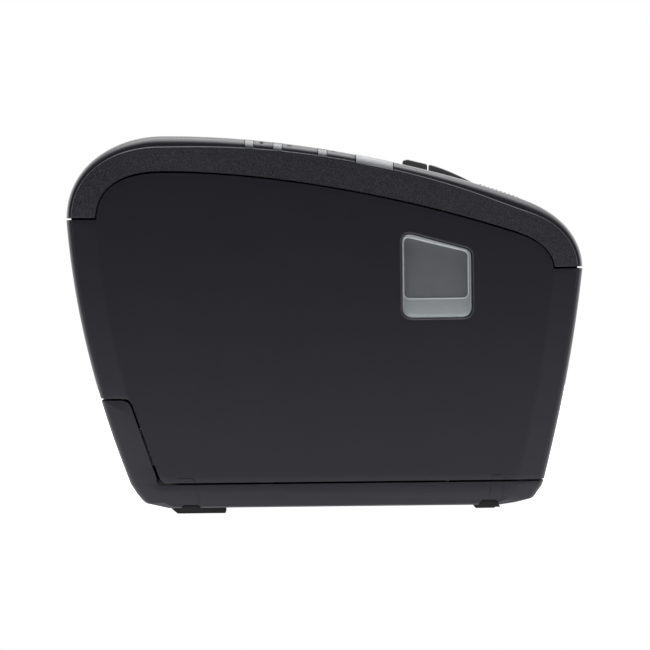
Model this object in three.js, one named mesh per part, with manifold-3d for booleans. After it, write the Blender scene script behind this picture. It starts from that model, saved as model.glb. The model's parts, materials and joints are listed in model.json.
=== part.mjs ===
// Desktop label maker, millimetres, +Z up, +X towards the label exit, -Y the cassette cover side.
// The casing is one lofted envelope, hollowed and parted into separate shells along its seams.
import * as THREE from 'three';
import { mergeVertices } from 'three/addons/utils/BufferGeometryUtils.js';
import Module from 'manifold-3d';

const wasm = await Module();
wasm.setup();

// ---------------------------------------------------------------- driving dimensions
const HALF_WIDTH = 59;            // side face to centre plane
const CREASE_Y = 57.3;            // where the sloped side band meets the edge fillet
const FILLET_MID_Y = 56.1;
const FILLET_END_Y = 54;          // inside this the full outline is reached
const WALL = 2.4;                 // shell thickness
const SEAM = 0.75;                // visible gap between casing parts
const PART_Y = 50;                // seam between side panels and front and rear covers
const REAR_NOTCH_Z = 110.2;       // lower edge of the top cover at the rear
const FRONT_NOTCH_Z = 90.2;       // lower edge of the top cover at the front
const BASE_SEAM_Z = 11.15;        // top edge of the base skirt
const RISER_Z = 42.7;             // top edge of the base's connector riser
const UNDERSIDE_Z = 2.3;
const FAR = 130;                  // beyond the casing, for region prisms

const HINGE_Y = -57;              // cassette cover hinge axis, along X, inside the cover's skin
const HINGE_Z = 13.8;
const PIN_R = 0.5;
const FIT = 0.3;                  // clearance between neighbouring pieces
const WELD = 1e-4;                // points closer than this are one

const PLATEN = { x: 60, z: 49.6, teeth: 24 };
const RIBBON = { x: 28, z: 46, teeth: 20 };
const PINION_TEETH = 12;
const IDLER_TEETH = 36;
const MODULE = 0.8;
const MESH_SLACK = 0.3;

// ---------------------------------------------------------------- colours
const FINISH = {
  panel: [0x232326, 0.62, 0],
  arch: [0x2e2e31, 0.75, 0],
  base: [0x2b2b2e, 0.68, 0],
  inner: [0x3a3b3d, 0.7, 0],
  grey: [0xcfd1d3, 0.45, 0],
  lens: [0xb4b6b8, 0.3, 0],
  smoke: [0x5c6265, 0.15, 0],
  steel: [0xa9adb0, 0.35, 1],
  aluminium: [0xc4c7ca, 0.4, 1],
  brass: [0xb58f45, 0.35, 1],
  rubber: [0x161617, 0.9, 0],
  gear: [0xe4e1d6, 0.5, 0],
  board: [0x1f5a34, 0.5, 0],
  cassette: [0x8c8f92, 0.5, 0],
  tape: [0xf1f0ea, 0.6, 0],
};

const machine = new THREE.Group();

// ---------------------------------------------------------------- solids
function solid(geometry) {
  const loose = geometry.index ? geometry.toNonIndexed() : geometry.clone();
  for (const name of Object.keys(loose.attributes)) {
    if (name !== 'position') loose.deleteAttribute(name);
  }
  const welded = mergeVertices(loose, WELD);
  return new wasm.Manifold(new wasm.Mesh({
    numProp: 3,
    vertProperties: new Float32Array(welded.attributes.position.array),
    triVerts: new Uint32Array(welded.index.array),
  }));
}

function add(name, body, finish) {
  const mesh = body.getMesh();
  const geometry = new THREE.BufferGeometry();
  geometry.setAttribute('position', new THREE.BufferAttribute(mesh.vertProperties, 3));
  geometry.setIndex(new THREE.BufferAttribute(mesh.triVerts, 1));
  geometry.computeVertexNormals();
  const [color, roughness, metalness] = FINISH[finish];
  const piece = new THREE.Mesh(geometry, new THREE.MeshStandardMaterial({ color, roughness, metalness }));
  piece.name = name;
  machine.add(piece);
}

function box(x0, x1, y0, y1, z0, z1) {
  const g = new THREE.BoxGeometry(x1 - x0, y1 - y0, z1 - z0);
  g.translate((x0 + x1) / 2, (y0 + y1) / 2, (z0 + z1) / 2);
  return solid(g);
}

// A prism of an XZ outline between two Y planes.
function prism(points, y0, y1, holes = []) {
  const toShape = (list, Kind) => new Kind(list.map(([x, z]) => new THREE.Vector2(x, z)));
  const shape = toShape(points, THREE.Shape);
  shape.holes = holes.map((hole) => toShape(hole, THREE.Path));
  const g = new THREE.ExtrudeGeometry(shape, { depth: y1 - y0, bevelEnabled: false });
  g.rotateX(Math.PI / 2);
  g.translate(0, y1, 0);
  return solid(g);
}

function ring(x, z, r, sides = 32, phase = 0) {
  return Array.from({ length: sides }, (_, i) => {
    const a = phase + (2 * Math.PI * i) / sides;
    return [x + r * Math.cos(a), z + r * Math.sin(a)];
  });
}

const rod = (x, z, r, y0, y1, sides = 24) => prism(ring(x, z, r, sides), y0, y1);
const tube = (x, z, r, bore, y0, y1, sides = 32) =>
  prism(ring(x, z, r, sides), y0, y1, [ring(x, z, bore, sides)]);

function rodAlong(axis, x, y, z, r, length, sides = 20) {
  const g = new THREE.CylinderGeometry(r, r, length, sides);
  if (axis === 'x') g.rotateZ(Math.PI / 2);
  if (axis === 'z') g.rotateX(Math.PI / 2);
  g.translate(x, y, z);
  return solid(g);
}

// Moves every side of a closed outline inwards by a distance, keeping its corners mitred.
function inset(points, distance) {
  const count = points.length;
  const area = points.reduce((sum, [x, z], i) => {
    const [nx, nz] = points[(i + 1) % count];
    return sum + x * nz - nx * z;
  }, 0);
  const turn = area > 0 ? 1 : -1;
  return points.map((point, i) => {
    const before = points[(i + count - 1) % count];
    const after = points[(i + 1) % count];
    const side = (a, b) => {
      const length = Math.hypot(b[0] - a[0], b[1] - a[1]);
      return [(-(b[1] - a[1]) / length) * turn, ((b[0] - a[0]) / length) * turn];
    };
    const n1 = side(before, point);
    const n2 = side(point, after);
    const spread = 1 + n1[0] * n2[0] + n1[1] * n2[1];
    return [
      point[0] + (distance * (n1[0] + n2[0])) / spread,
      point[1] + (distance * (n1[1] + n2[1])) / spread,
    ];
  });
}

// Joins rings of equal length, each a list of [x, y, z], into a closed body with flat ends.
function loft(rings) {
  const count = rings[0].length;
  const positions = rings.flat(2);
  const index = [];
  for (let r = 0; r + 1 < rings.length; r += 1) {
    for (let i = 0; i < count; i += 1) {
      const a = r * count + i;
      const b = r * count + ((i + 1) % count);
      index.push(a, b, b + count, a, b + count, a + count);
    }
  }
  // Each end is a fan about its middle, so every outline must see its own middle.
  const ends = [[0, rings[0], false], [(rings.length - 1) * count, rings.at(-1), true]];
  for (const [start, list, forward] of ends) {
    const middle = [0, 1, 2].map((k) => list.reduce((sum, p) => sum + p[k], 0) / count);
    const hub = positions.length / 3;
    positions.push(...middle);
    for (let i = 0; i < count; i += 1) {
      const a = start + i;
      const b = start + ((i + 1) % count);
      index.push(...(forward ? [hub, a, b] : [hub, b, a]));
    }
  }
  const g = new THREE.BufferGeometry();
  g.setAttribute('position', new THREE.Float32BufferAttribute(positions, 3));
  g.setIndex(index);
  let body = solid(g);
  if (body.volume() < 0) {
    g.setIndex(index.toReversed());
    body = solid(g);
  }
  return body;
}

// ---------------------------------------------------------------- casing outlines
const point = ([x, z]) => new THREE.Vector2(x, z);

function curve(steps, ...controls) {
  const [a, b, c, d] = controls.map(point);
  const line = d ? new THREE.CubicBezierCurve(a, b, c, d) : new THREE.QuadraticBezierCurve(a, b, c);
  return line.getPoints(steps).slice(0, -1).map((p) => [p.x, p.y]);
}

// The silhouette and the flat side face run through matching stretches, rear, top, front, underside.
const STEPS = { rear: 7, rearTop: 9, top: 11, frontTop: 8, front: 7 };
const silhouette = [
  ...curve(STEPS.rear, [-73.2, 11.6], [-84, 39.9], [-93.2, 71.8], [-95.9, REAR_NOTCH_Z]),
  ...curve(STEPS.rearTop, [-95.9, REAR_NOTCH_Z], [-95.9, 129.9], [-77.9, 140.8], [-60, 140.8]),
  ...curve(STEPS.top, [-60, 140.8], [-10.7, 140.8], [44, 127.5], [74.6, 115.6]),
  ...curve(STEPS.frontTop, [74.6, 115.6], [94.4, 107.9], [96, 94.9], [96, FRONT_NOTCH_Z]),
  ...curve(STEPS.front, [96, FRONT_NOTCH_Z], [92.4, 60], [87.2, 36.3], [80.8, 11.4]),
  [80.8, 11.4], [80, 9.4], [77, 5.2], [76, 4.5], [70, 3.05], [64.4, UNDERSIDE_Z],
  [-58.6, UNDERSIDE_Z], [-60.2, 2.6], [-67.5, 4.3], [-68.7, 5.3], [-70.8, 7.8],
];
const flatFace = [
  ...curve(STEPS.rear, [-62.3, 11.8], [-69.5, 30.6], [-81.9, 61.8], [-84.3, REAR_NOTCH_Z]),
  ...curve(STEPS.rearTop, [-84.3, REAR_NOTCH_Z], [-84.3, 116], [-81.4, 127.2], [-60, 127.2]),
  ...curve(STEPS.top, [-60, 127.2], [-30.8, 127.2], [17.6, 121.1], [70.5, 103.6]),
  ...curve(STEPS.frontTop, [70.5, 103.6], [72.7, 102.9], [84, 99.7], [84.9, FRONT_NOTCH_Z]),
  ...curve(STEPS.front, [84.9, FRONT_NOTCH_Z], [81.3, 51.5], [70.9, 11.6]),
  [70.9, 11.6], [70.3, 9.4], [68.6, 6.6], [67.8, 6], [65.6, 5], [62.6, 4.2],
  [-56.8, 4.2], [-57.6, 4.4], [-60.4, 5.2], [-61, 6], [-61.6, 8.2],
];

// Width of the fillet and crease strip, from 2.3 mm at the ends to 4.4 mm along the top.
const CREASE_END = 2.3;
const CREASE_TOP = 4.4;
function creaseWeight(outer, inner) {
  const width = Math.hypot(outer[0] - inner[0], outer[1] - inner[1]);
  const topness = Math.max(0, Math.abs(inner[1] - outer[1]) / width) * (outer[1] > 60 ? 1 : 0);
  return Math.min((CREASE_END + (CREASE_TOP - CREASE_END) * topness) / width, 0.6);
}

// The envelope pushed inwards by a distance; negative values swell it.
function envelope(distance) {
  const sections = [
    [HALF_WIDTH, 1, 1],
    [CREASE_Y, 0, 1],
    [FILLET_MID_Y, 0, 0.42],
    [FILLET_END_Y, 0, 0],
  ];
  const half = sections.map(([y, full, crease]) => {
    const outline = silhouette.map((outer, i) => {
      const inner = flatFace[i];
      const weight = full || creaseWeight(outer, inner) * crease;
      return [outer[0] + (inner[0] - outer[0]) * weight, outer[1] + (inner[1] - outer[1]) * weight];
    });
    return { y: y - distance, outline: inset(outline, distance) };
  });
  const near = half.map(({ y, outline }) => outline.map(([x, z]) => [x, -y, z]));
  const far = half.map(({ y, outline }) => outline.map(([x, z]) => [x, y, z])).reverse();
  return loft([...near, ...far]);
}

const outerSkin = envelope(0);
const innerSkin = envelope(WALL);
const shell = outerSkin.subtract(innerSkin);

// Line between the top cover's side band and the side panels, moved outwards by a distance,
// from the rear notch to the front notch and on through both outer faces.
const archStart = STEPS.rear;
const archEnd = STEPS.rear + STEPS.rearTop + STEPS.top + STEPS.frontTop;
function archSeam(outwards) {
  const line = inset(flatFace, -outwards).slice(archStart, archEnd + 1);
  line[0][1] = REAR_NOTCH_Z + outwards;
  line.at(-1)[1] = FRONT_NOTCH_Z + outwards;
  return [[-FAR, REAR_NOTCH_Z + outwards], ...line, [FAR, FRONT_NOTCH_Z + outwards]];
}

// Line along the top of the base: riser, slanted step, skirt. The base falls away a little sooner at
// the foot of the step, where the opening cover's lower edge dips past it.
const BASE_CORNER = [[-63.2, 14.4], [-62.9, 11.8], [-62.2, BASE_SEAM_Z]];
const COVER_CORNER = [[-62.1, 13.6], [-61.1, 12.3], [-59.2, BASE_SEAM_Z + SEAM]];
function baseSeam(up, corner) {
  return [
    [-FAR, RISER_Z + up], [-75.6, RISER_Z + up], [-73.4, RISER_Z - 0.9 + up], [-72 + up, 39.4],
    ...corner, [FAR, BASE_SEAM_Z + up],
  ];
}

// ---------------------------------------------------------------- controls on the top edge
const LAMP_X = [-27.4, -16.9, -0.3];
const LAMP_WIDTH = 3.1;
const LAMP_Y = [-56.6, -54];
const RELEASE = { x0: 12.1, x1: 25.8, across: 7.2, centre: -52.2 };
const POWER = { x0: 29.6, x1: 38.7, y0: -47, y1: -34 };
const FEED = { x0: 39.4, x1: 55.4, y0: -47, y1: -34 };
const KEY_PROUD = 2.3;            // keys above the top surface
const KEY_DEPTH = 7;              // keys below it
const GRIP = { x0: 56.5, x1: 73.6, y0: -47, y1: -34, pitch: 1.71, count: 10 };
const GROOVE = 0.7;               // width of a groove in the grip strip
const INLAY = { x0: -62, x1: 54, y0: -28, y1: 44, corner: 6 };
const RECESS_DEPTH = 1.3;         // under the inlay and the grip strip
const TOP_BAND = [90, 160];       // heights that take in the whole top surface

// Height of the top surface at a place along X, read from the silhouette.
function topZ(x) {
  for (let i = archStart; i < archEnd; i += 1) {
    const [x0, z0] = silhouette[i];
    const [x1, z1] = silhouette[i + 1];
    if (x0 <= x && x <= x1) return z0 + ((z1 - z0) * (x - x0)) / (x1 - x0);
  }
  return 0;
}

// A block standing on the top edge, its long side along the inward diagonal, sheared to the slope.
function diagonalBlock(x0, x1, across, y, depth) {
  const g = new THREE.BoxGeometry(x1 - x0, across, 2 * depth);
  g.rotateX(Math.PI / 4);
  const slope = (topZ(x1) - topZ(x0)) / (x1 - x0);
  g.applyMatrix4(new THREE.Matrix4().makeShear(0, slope, 0, 0, 0, 0));
  g.translate((x0 + x1) / 2, y, topZ((x0 + x1) / 2) - 2);
  return solid(g);
}

// Upright prism over a rounded XY rectangle.
function pad(x0, x1, y0, y1, radius, z0, z1) {
  const shape = new THREE.Shape();
  shape.moveTo(x0 + radius, y0);
  shape.lineTo(x1 - radius, y0);
  shape.absarc(x1 - radius, y0 + radius, radius, -Math.PI / 2, 0);
  shape.absarc(x1 - radius, y1 - radius, radius, 0, Math.PI / 2);
  shape.absarc(x0 + radius, y1 - radius, radius, Math.PI / 2, Math.PI);
  shape.absarc(x0 + radius, y0 + radius, radius, Math.PI, 1.5 * Math.PI);
  const g = new THREE.ExtrudeGeometry(shape, { depth: z1 - z0, bevelEnabled: false, curveSegments: 4 });
  g.translate(0, 0, z0);
  return solid(g);
}

// Vertical block through the top surface over a key, grown by a distance.
const column = ({ x0, x1, y0, y1 }, grow) =>
  box(x0 - grow, x1 + grow, y0 - grow, y1 + grow, ...TOP_BAND);

function addTopCover() {
  const above = prism([...archSeam(SEAM / 2), [FAR, 160], [-FAR, 160]], -FAR, FAR);
  let cover = shell.intersect(above);
  const inlayColumn = (shrink) => pad(INLAY.x0 + shrink, INLAY.x1 - shrink,
    INLAY.y0 + shrink, INLAY.y1 - shrink, INLAY.corner - shrink, ...TOP_BAND);
  const recess = envelope(RECESS_DEPTH);
  cover = cover.subtract(inlayColumn(0).subtract(recess));
  cover = cover.subtract(column(GRIP, 0).subtract(recess));
  const plate = envelope(-0.4).subtract(envelope(1));
  add('top_inlay', plate.intersect(inlayColumn(FIT)), 'panel');

  let strip = plate.intersect(column(GRIP, -FIT));
  const grooveFloor = envelope(0.1);
  for (let i = 0; i < GRIP.count; i += 1) {
    const x = GRIP.x0 + 0.9 + i * GRIP.pitch;
    strip = strip.subtract(box(x, x + GROOVE, -FAR, 0, ...TOP_BAND).subtract(grooveFloor));
  }
  add('top_grip_strip', strip, 'arch');

  const lensSkin = envelope(-0.15);
  LAMP_X.forEach((x, i) => {
    const top = topZ(x);
    const slot = [x - LAMP_WIDTH / 2, x + LAMP_WIDTH / 2, ...LAMP_Y, top - 6, top + 3];
    const grow = [-FIT, FIT, -FIT, FIT, -FIT, FIT];
    cover = cover.subtract(box(...slot.map((value, k) => value + grow[k])));
    add(`status_lamp_lens_${i + 1}`, lensSkin.intersect(box(...slot)), 'lens');
  });

  const edge = envelope(-0.35);
  const button = (extra) => diagonalBlock(RELEASE.x0 - extra, RELEASE.x1 + extra,
    RELEASE.across + 2 * extra, RELEASE.centre, 9);
  cover = cover.subtract(button(FIT));
  add('cover_release_button', edge.intersect(button(0)), 'grey');

  for (const key of [POWER, FEED]) cover = cover.subtract(column(key, FIT));
  const shoulder = POWER.x0 + 1.8;
  add('power_button', prism([
    [POWER.x0, topZ(POWER.x0) - KEY_DEPTH], [POWER.x1, topZ(POWER.x1) - KEY_DEPTH],
    [POWER.x1, topZ(POWER.x1) + KEY_PROUD], [shoulder, topZ(shoulder) + KEY_PROUD],
    [POWER.x0, topZ(POWER.x0) + KEY_PROUD - 0.8],
  ], POWER.y0, POWER.y1), 'panel');
  const wedge = [0, 0.2, 0.4, 0.6, 0.8, 1].map((t) => {
    const x = FEED.x0 + t * (FEED.x1 - FEED.x0);
    return [x, topZ(x) + 0.1 + KEY_PROUD * (1 - t ** 1.7)];
  });
  add('feed_cut_button', prism([
    [FEED.x0, topZ(FEED.x0) - KEY_DEPTH], [FEED.x1, topZ(FEED.x1) - KEY_DEPTH],
    ...wedge.reverse(),
  ], FEED.y0, FEED.y1), 'panel');
  add('top_cover', cover, 'arch');
}

// ---------------------------------------------------------------- side, front and rear covers
const HINGE = [{ name: 'rear', x: -53 }, { name: 'front', x: 64.5 }];
const LUG = { half: 2.4, knuckle: 1.2, bore: PIN_R + 0.25, top: 15, stem: [-54.6, -52.8] };
const COVER_SKIN = 0.55;          // thickness of the cover outside a hinge lug
const PIN_LENGTH = 10;
const WINDOW = [
  [28.4, 71.3], [55.1, 71.3], [55.1, 94.4], [51.4, 98.6], [32.3, 103.8], [28.4, 100.6],
];
const WINDOW_FLOOR = [
  [29.7, 79.6], [52.9, 79.6], [52.9, 93.4], [51.3, 96.2], [32.1, 100.7], [29.7, 98.6],
];
const WINDOW_FLOOR_Y = -55.8;
const WINDOW_BACK_Y = -54.4;
const LATCH = { x0: 15, x1: 23, z: 106 };
const LIP = 1.3;                  // chamfer along the cover's lower outer edge

function addSidePanels() {
  const region = [...archSeam(-SEAM / 2), ...baseSeam(SEAM, COVER_CORNER).reverse()];
  const flanks = shell.intersect(prism(region, -FAR, FAR));
  const fixed = flanks.intersect(box(-FAR, FAR, PART_Y + SEAM / 4, FAR, 0, FAR));
  add('fixed_side_panel', fixed, 'panel');

  let cover = flanks.intersect(box(-FAR, FAR, -FAR, -PART_Y - SEAM / 4, 0, FAR));
  const bottom = BASE_SEAM_Z + SEAM;
  cover = cover.add(box(-60, 70.5, -HALF_WIDTH + 0.3, -55.2, bottom, bottom + 4));
  const lip = new THREE.BoxGeometry(2 * FAR, LIP, LIP);
  lip.rotateX(Math.PI / 4);
  lip.translate(0, -HALF_WIDTH, bottom);
  cover = cover.subtract(solid(lip));
  for (const { x } of HINGE) {
    const reach = LUG.half + FIT;
    cover = cover.subtract(box(x - reach, x + reach, -HALF_WIDTH + COVER_SKIN, -50, 0, LUG.top + 2.2));
    cover = cover.subtract(rodAlong('x', x, HINGE_Y, HINGE_Z, PIN_R + FIT, PIN_LENGTH + 1));
  }
  cover = cover.subtract(prism(WINDOW, -FAR, -50));
  cover = cover.add(box(LATCH.x0, LATCH.x1, -57, -52.6, LATCH.z, LATCH.z + 3));
  cover = cover.add(box(LATCH.x0, LATCH.x1, -54, -52.6, LATCH.z + 2, LATCH.z + 6));
  add('cassette_cover', cover, 'panel');

  const cavity = (outline, y) => outline.map(([x, z]) => [x, y, z]);
  const hollow = loft([cavity(inset(WINDOW, 1), -HALF_WIDTH - 0.2),
    cavity(WINDOW_FLOOR, WINDOW_FLOOR_Y)]);
  const tray = prism(inset(WINDOW, FIT), -HALF_WIDTH + 0.2, WINDOW_BACK_Y).subtract(hollow);
  add('cover_window', tray, 'smoke');
}

const EXIT = { y0: -47, y1: -7, z0: 52, z1: 59 };
const VENTS = { count: 8, z: 58, pitch: 5, height: 2, reach: 30 };

function addFrontAndRear() {
  const clear = PART_Y - SEAM / 4;
  const middle = shell.intersect(box(-FAR, FAR, -clear, clear, 0, FAR));
  let front = middle.intersect(box(40, FAR, -FAR, FAR, BASE_SEAM_Z + SEAM, FRONT_NOTCH_Z - SEAM / 2));
  front = front.subtract(box(40, FAR, EXIT.y0, EXIT.y1, EXIT.z0, EXIT.z1));
  add('front_bezel', front, 'panel');
  let rear = middle.intersect(box(-FAR, -40, -FAR, FAR, RISER_Z + SEAM, REAR_NOTCH_Z - SEAM / 2));
  for (let i = 0; i < VENTS.count; i += 1) {
    const z = VENTS.z + i * VENTS.pitch;
    rear = rear.subtract(box(-FAR, -40, -VENTS.reach, VENTS.reach, z, z + VENTS.height));
  }
  add('rear_cover', rear, 'panel');
}

// ---------------------------------------------------------------- base, feet and connectors
const FEET = [
  { name: 'rear', x0: -57.1, x1: -37.9, slopes: [2.2, 0], y0: 38, y1: 50 },
  { name: 'front', x0: 54.3, x1: 62.9, slopes: [1.5, 1.5], y0: 27, y1: 38 },
];
const FOOT_TOP = 3;
const BASE_SCREWS = [[-24, -46], [-24, 46], [44, -46], [44, 46]];
const SOCKETS = [
  { name: 'network_socket', y: -28, z: 24, width: 16, height: 13.4, hole: [11.8, 7.6], finish: 'steel' },
  { name: 'usb_socket', y: 0, z: 24, width: 12, height: 11, hole: [8.6, 7.8], finish: 'steel' },
  { name: 'power_inlet', y: 26, z: 24, width: 12, height: 12, hole: [0, 0], finish: 'rubber' },
];
const SOCKET_FACE_X = -75.6;
const SOCKET_DEPTH = 14;

function addBase() {
  const region = [...baseSeam(0, BASE_CORNER), [FAR, -5], [-FAR, -5]];
  let base = shell.intersect(prism(region, -FAR, FAR));
  for (const { name, x } of HINGE) {
    const [x0, x1] = [x - LUG.half, x + LUG.half];
    const [stem, back] = LUG.stem;
    base = base.add(box(x0, x1, -HALF_WIDTH + 2, back, 8.6, 10.4))
      .add(box(x0, x1, stem, back, 8.6, LUG.top))
      .add(box(x0, x1, HINGE_Y, back, HINGE_Z - 0.9, LUG.top))
      .add(rodAlong('x', x, HINGE_Y, HINGE_Z, LUG.knuckle, 2 * LUG.half))
      .subtract(rodAlong('x', x, HINGE_Y, HINGE_Z, LUG.bore, 3 * LUG.half));
    add(`hinge_pin_${name}`, rodAlong('x', x, HINGE_Y, HINGE_Z, PIN_R, PIN_LENGTH, 12), 'steel');
  }
  BASE_SCREWS.forEach(([x, y], i) => {
    base = base.add(rodAlong('z', x, y, 9, 5, 9));
    base = base.subtract(rodAlong('z', x, y, 3, 3.4, 6));
    base = base.subtract(rodAlong('z', x, y, 9, 1.8, 14));
    add(`base_screw_${i + 1}`, rodAlong('z', x, y, 4.6, 3, 2)
      .add(rodAlong('z', x, y, 8.6, 1.5, 7, 12)), 'steel');
  });
  for (const foot of FEET) {
    for (const side of [-1, 1]) {
      const [y0, y1] = side < 0 ? [-foot.y1, -foot.y0] : [foot.y0, foot.y1];
      const outline = [
        [foot.x0, FOOT_TOP], [foot.x0, 1.8], [foot.x0 + foot.slopes[0], 0],
        [foot.x1 - foot.slopes[1], 0], [foot.x1, 1.8], [foot.x1, FOOT_TOP],
      ];
      base = base.subtract(box(foot.x0 - FIT, foot.x1 + FIT, y0 - FIT, y1 + FIT, 0, FOOT_TOP + FIT));
      const end = side < 0 ? 'left' : 'right';
      add(`foot_${foot.name}_${end}`, prism(outline, y0, y1), 'rubber');
    }
  }
  for (const socket of SOCKETS) {
    const y0 = socket.y - socket.width / 2;
    const y1 = socket.y + socket.width / 2;
    const z0 = socket.z - socket.height / 2;
    const z1 = socket.z + socket.height / 2;
    base = base.subtract(box(-FAR, SOCKET_FACE_X + 8, y0 - FIT, y1 + FIT, z0 - FIT, z1 + FIT));
    let body = box(SOCKET_FACE_X, SOCKET_FACE_X + SOCKET_DEPTH, y0, y1, z0, z1);
    const [width, height] = socket.hole;
    if (width > 0) {
      body = body.subtract(box(SOCKET_FACE_X - 1, SOCKET_FACE_X + SOCKET_DEPTH - 1.5,
        socket.y - width / 2, socket.y + width / 2, socket.z - height / 2, socket.z + height / 2));
    } else {
      body = body.subtract(rodAlong('x', SOCKET_FACE_X + 4, socket.y, socket.z, 3.2, 10));
      body = body.add(rodAlong('x', SOCKET_FACE_X + 5, socket.y, socket.z, 1, 8, 10));
    }
    add(socket.name, body, socket.finish);
  }
  add('base', base, 'base');
}

// ---------------------------------------------------------------- chassis and cassette
const WELL = [
  [-58, 20], [66, 20], [73, 46], [75, 88], [66, 97],
  [-50, 116], [-64, 106], [-64, 52], [-58, 44],
];
const WELL_MOUTH_Y = -52;
const WELL_FLOOR_Y = -4.2;
const WELL_BACK_Y = -2;
const CASE = [[-46, 30], [46, 30], [49, 34], [49, 84], [40, 92], [-40, 98], [-46, 92]];
const CASE_Y = [-47, -9];
const TAPE_ROLL = { x: -14, z: 63, r: 28, bore: 9 };
const SUPPLY = { x: 31, z: 73, r: 10 };
const WOUND_Y = [-44.6, -11.4];   // the width of every roll in the cassette

function addChassis() {
  let well = prism(WELL, WELL_MOUTH_Y, WELL_BACK_Y)
    .subtract(prism(inset(WELL, 2), WELL_MOUTH_Y - 1, WELL_FLOOR_Y));
  well = well.subtract(box(64, 90, EXIT.y0, EXIT.y1, EXIT.z0 - 2, EXIT.z1 + 4));
  well = well.subtract(rod(PLATEN.x, PLATEN.z, 2.4, -10, 5));
  well = well.subtract(rod(RIBBON.x, RIBBON.z, 3.6, -10, 5));
  add('cassette_well', well, 'inner');

  let cassette = prism(CASE, CASE_Y[0], CASE_Y[1])
    .subtract(prism(inset(CASE, 1.6), CASE_Y[0] + 1.6, CASE_Y[1] - 1.6));
  cassette = cassette.subtract(box(45, 52, CASE_Y[0] + 1.6, CASE_Y[1] - 1.6, 51.5, 58));
  cassette = cassette.subtract(rod(RIBBON.x, RIBBON.z, 5, -12, -5));
  add('cassette_case', cassette, 'cassette');
  const { x, z, r, bore } = TAPE_ROLL;
  add('label_tape_roll', tube(x, z, r, bore, ...WOUND_Y, 40), 'tape');
  add('cassette_core', rod(x, z, bore - FIT, ...WOUND_Y), 'gear');
  add('ribbon_supply_spool', tube(SUPPLY.x, SUPPLY.z, SUPPLY.r, 4, ...WOUND_Y), 'rubber');
  add('ribbon_takeup_spool', tube(RIBBON.x, RIBBON.z, 6.5, 3.4, ...WOUND_Y, 24), 'rubber');
}

// ---------------------------------------------------------------- gear train
function gear(x, z, teeth, phase, y0, y1, bore) {
  const pitch = (2 * Math.PI) / teeth;
  const radius = (teeth * MODULE) / 2;
  const outline = [];
  for (let i = 0; i < teeth; i += 1) {
    for (const [r, share] of [[-0.95, -0.31], [0.75, -0.13], [0.75, 0.13], [-0.95, 0.31]]) {
      const a = phase + (i + share) * pitch;
      const reach = radius + r * MODULE;
      outline.push([x + reach * Math.cos(a), z + reach * Math.sin(a)]);
    }
  }
  return prism(outline, y0, y1, [ring(x, z, bore, 16)]);
}

const spacing = (a, b) => ((a + b) * MODULE) / 2 + MESH_SLACK;

// Place of a gear that meshes with two others.
function between(first, second, teeth) {
  const r1 = spacing(first.teeth, teeth);
  const r2 = spacing(second.teeth, teeth);
  const dx = second.x - first.x;
  const dz = second.z - first.z;
  const d = Math.hypot(dx, dz);
  const along = (r1 * r1 - r2 * r2 + d * d) / (2 * d);
  const off = Math.sqrt(r1 * r1 - along * along);
  return {
    x: first.x + (along * dx - off * dz) / d,
    z: first.z + (along * dz + off * dx) / d,
    teeth,
  };
}

// Turns a gear so that its gaps face the teeth of its neighbour.
function meshPhase(driver, driverPhase, driven) {
  const facing = Math.atan2(driven.z - driver.z, driven.x - driver.x);
  const slip = (driverPhase - facing) * driver.teeth + Math.PI;
  return facing + Math.PI - slip / driven.teeth;
}

const IDLER = between(PLATEN, RIBBON, IDLER_TEETH);
const MOTOR_BEARING = 3.25;       // radians, direction from the idler to the motor
const PINION = {
  x: IDLER.x + spacing(PINION_TEETH, IDLER_TEETH) * Math.cos(MOTOR_BEARING),
  z: IDLER.z + spacing(PINION_TEETH, IDLER_TEETH) * Math.sin(MOTOR_BEARING),
  teeth: PINION_TEETH,
};
const GEAR_Y = [2, 8];
const PLATE_Y = [11, 13];
const MOTOR_Y = [13.4, 44];

function addDrive() {
  const idlerPhase = meshPhase(PINION, 0, IDLER);
  const platenPhase = meshPhase(IDLER, idlerPhase, PLATEN);
  const ribbonPhase = meshPhase(IDLER, idlerPhase, RIBBON);
  const [g0, g1] = GEAR_Y;

  add('motor_pinion', gear(PINION.x, PINION.z, PINION.teeth, 0, g0, g1, 1.5 + FIT), 'brass');
  add('motor_shaft', rod(PINION.x, PINION.z, 1.5, g0, MOTOR_Y[0] - FIT, 16), 'steel');
  add('idler_gear', gear(IDLER.x, IDLER.z, IDLER.teeth, idlerPhase, g0, g1, 2 + FIT), 'gear');
  add('platen_gear', gear(PLATEN.x, PLATEN.z, PLATEN.teeth, platenPhase, g0, g1, 1.8 + FIT), 'gear');
  add('ribbon_gear', gear(RIBBON.x, RIBBON.z, RIBBON.teeth, ribbonPhase, g0, g1, 3 + FIT), 'gear');
  add('platen_shaft', rod(PLATEN.x, PLATEN.z, 1.8, -48, 10.4, 20), 'steel');
  add('platen_roller', tube(PLATEN.x, PLATEN.z, 5, 1.8 + FIT, -46, -8), 'rubber');
  add('ribbon_spindle', rod(RIBBON.x, RIBBON.z, 3, -42, 10.4, 6), 'gear');

  const plate = prism([[0, 14], [74, 14], [74, 66], [0, 66]], PLATE_Y[0], PLATE_Y[1], [
    ring(PINION.x, PINION.z, 2.2, 16),
  ]);
  add('gear_plate', plate.add(rod(IDLER.x, IDLER.z, 2, g0 - 1, PLATE_Y[0] + 1, 20)), 'steel');
  add('drive_motor', rod(PINION.x, PINION.z, 13, MOTOR_Y[0], MOTOR_Y[1], 40), 'steel');
  for (const [i, side] of [-1, 1].entries()) {
    const x = PINION.x + side * 9;
    add(`motor_screw_${i + 1}`, rodAlong('y', x, 9.7, PINION.z, 2.2, 2, 16), 'steel');
  }
}

// ---------------------------------------------------------------- print head and cutter
const HEAD_PIVOT = { x: 53.2, z: 76, r: 1.5 };
const HEAD_Y = [-46, -10];        // the width of the print head and its arm
const FINS = { count: 8, pitch: 4.4, y: -44.2, gap: 2.2 };
const BLADE_X = [68.4, 69.4];

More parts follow.
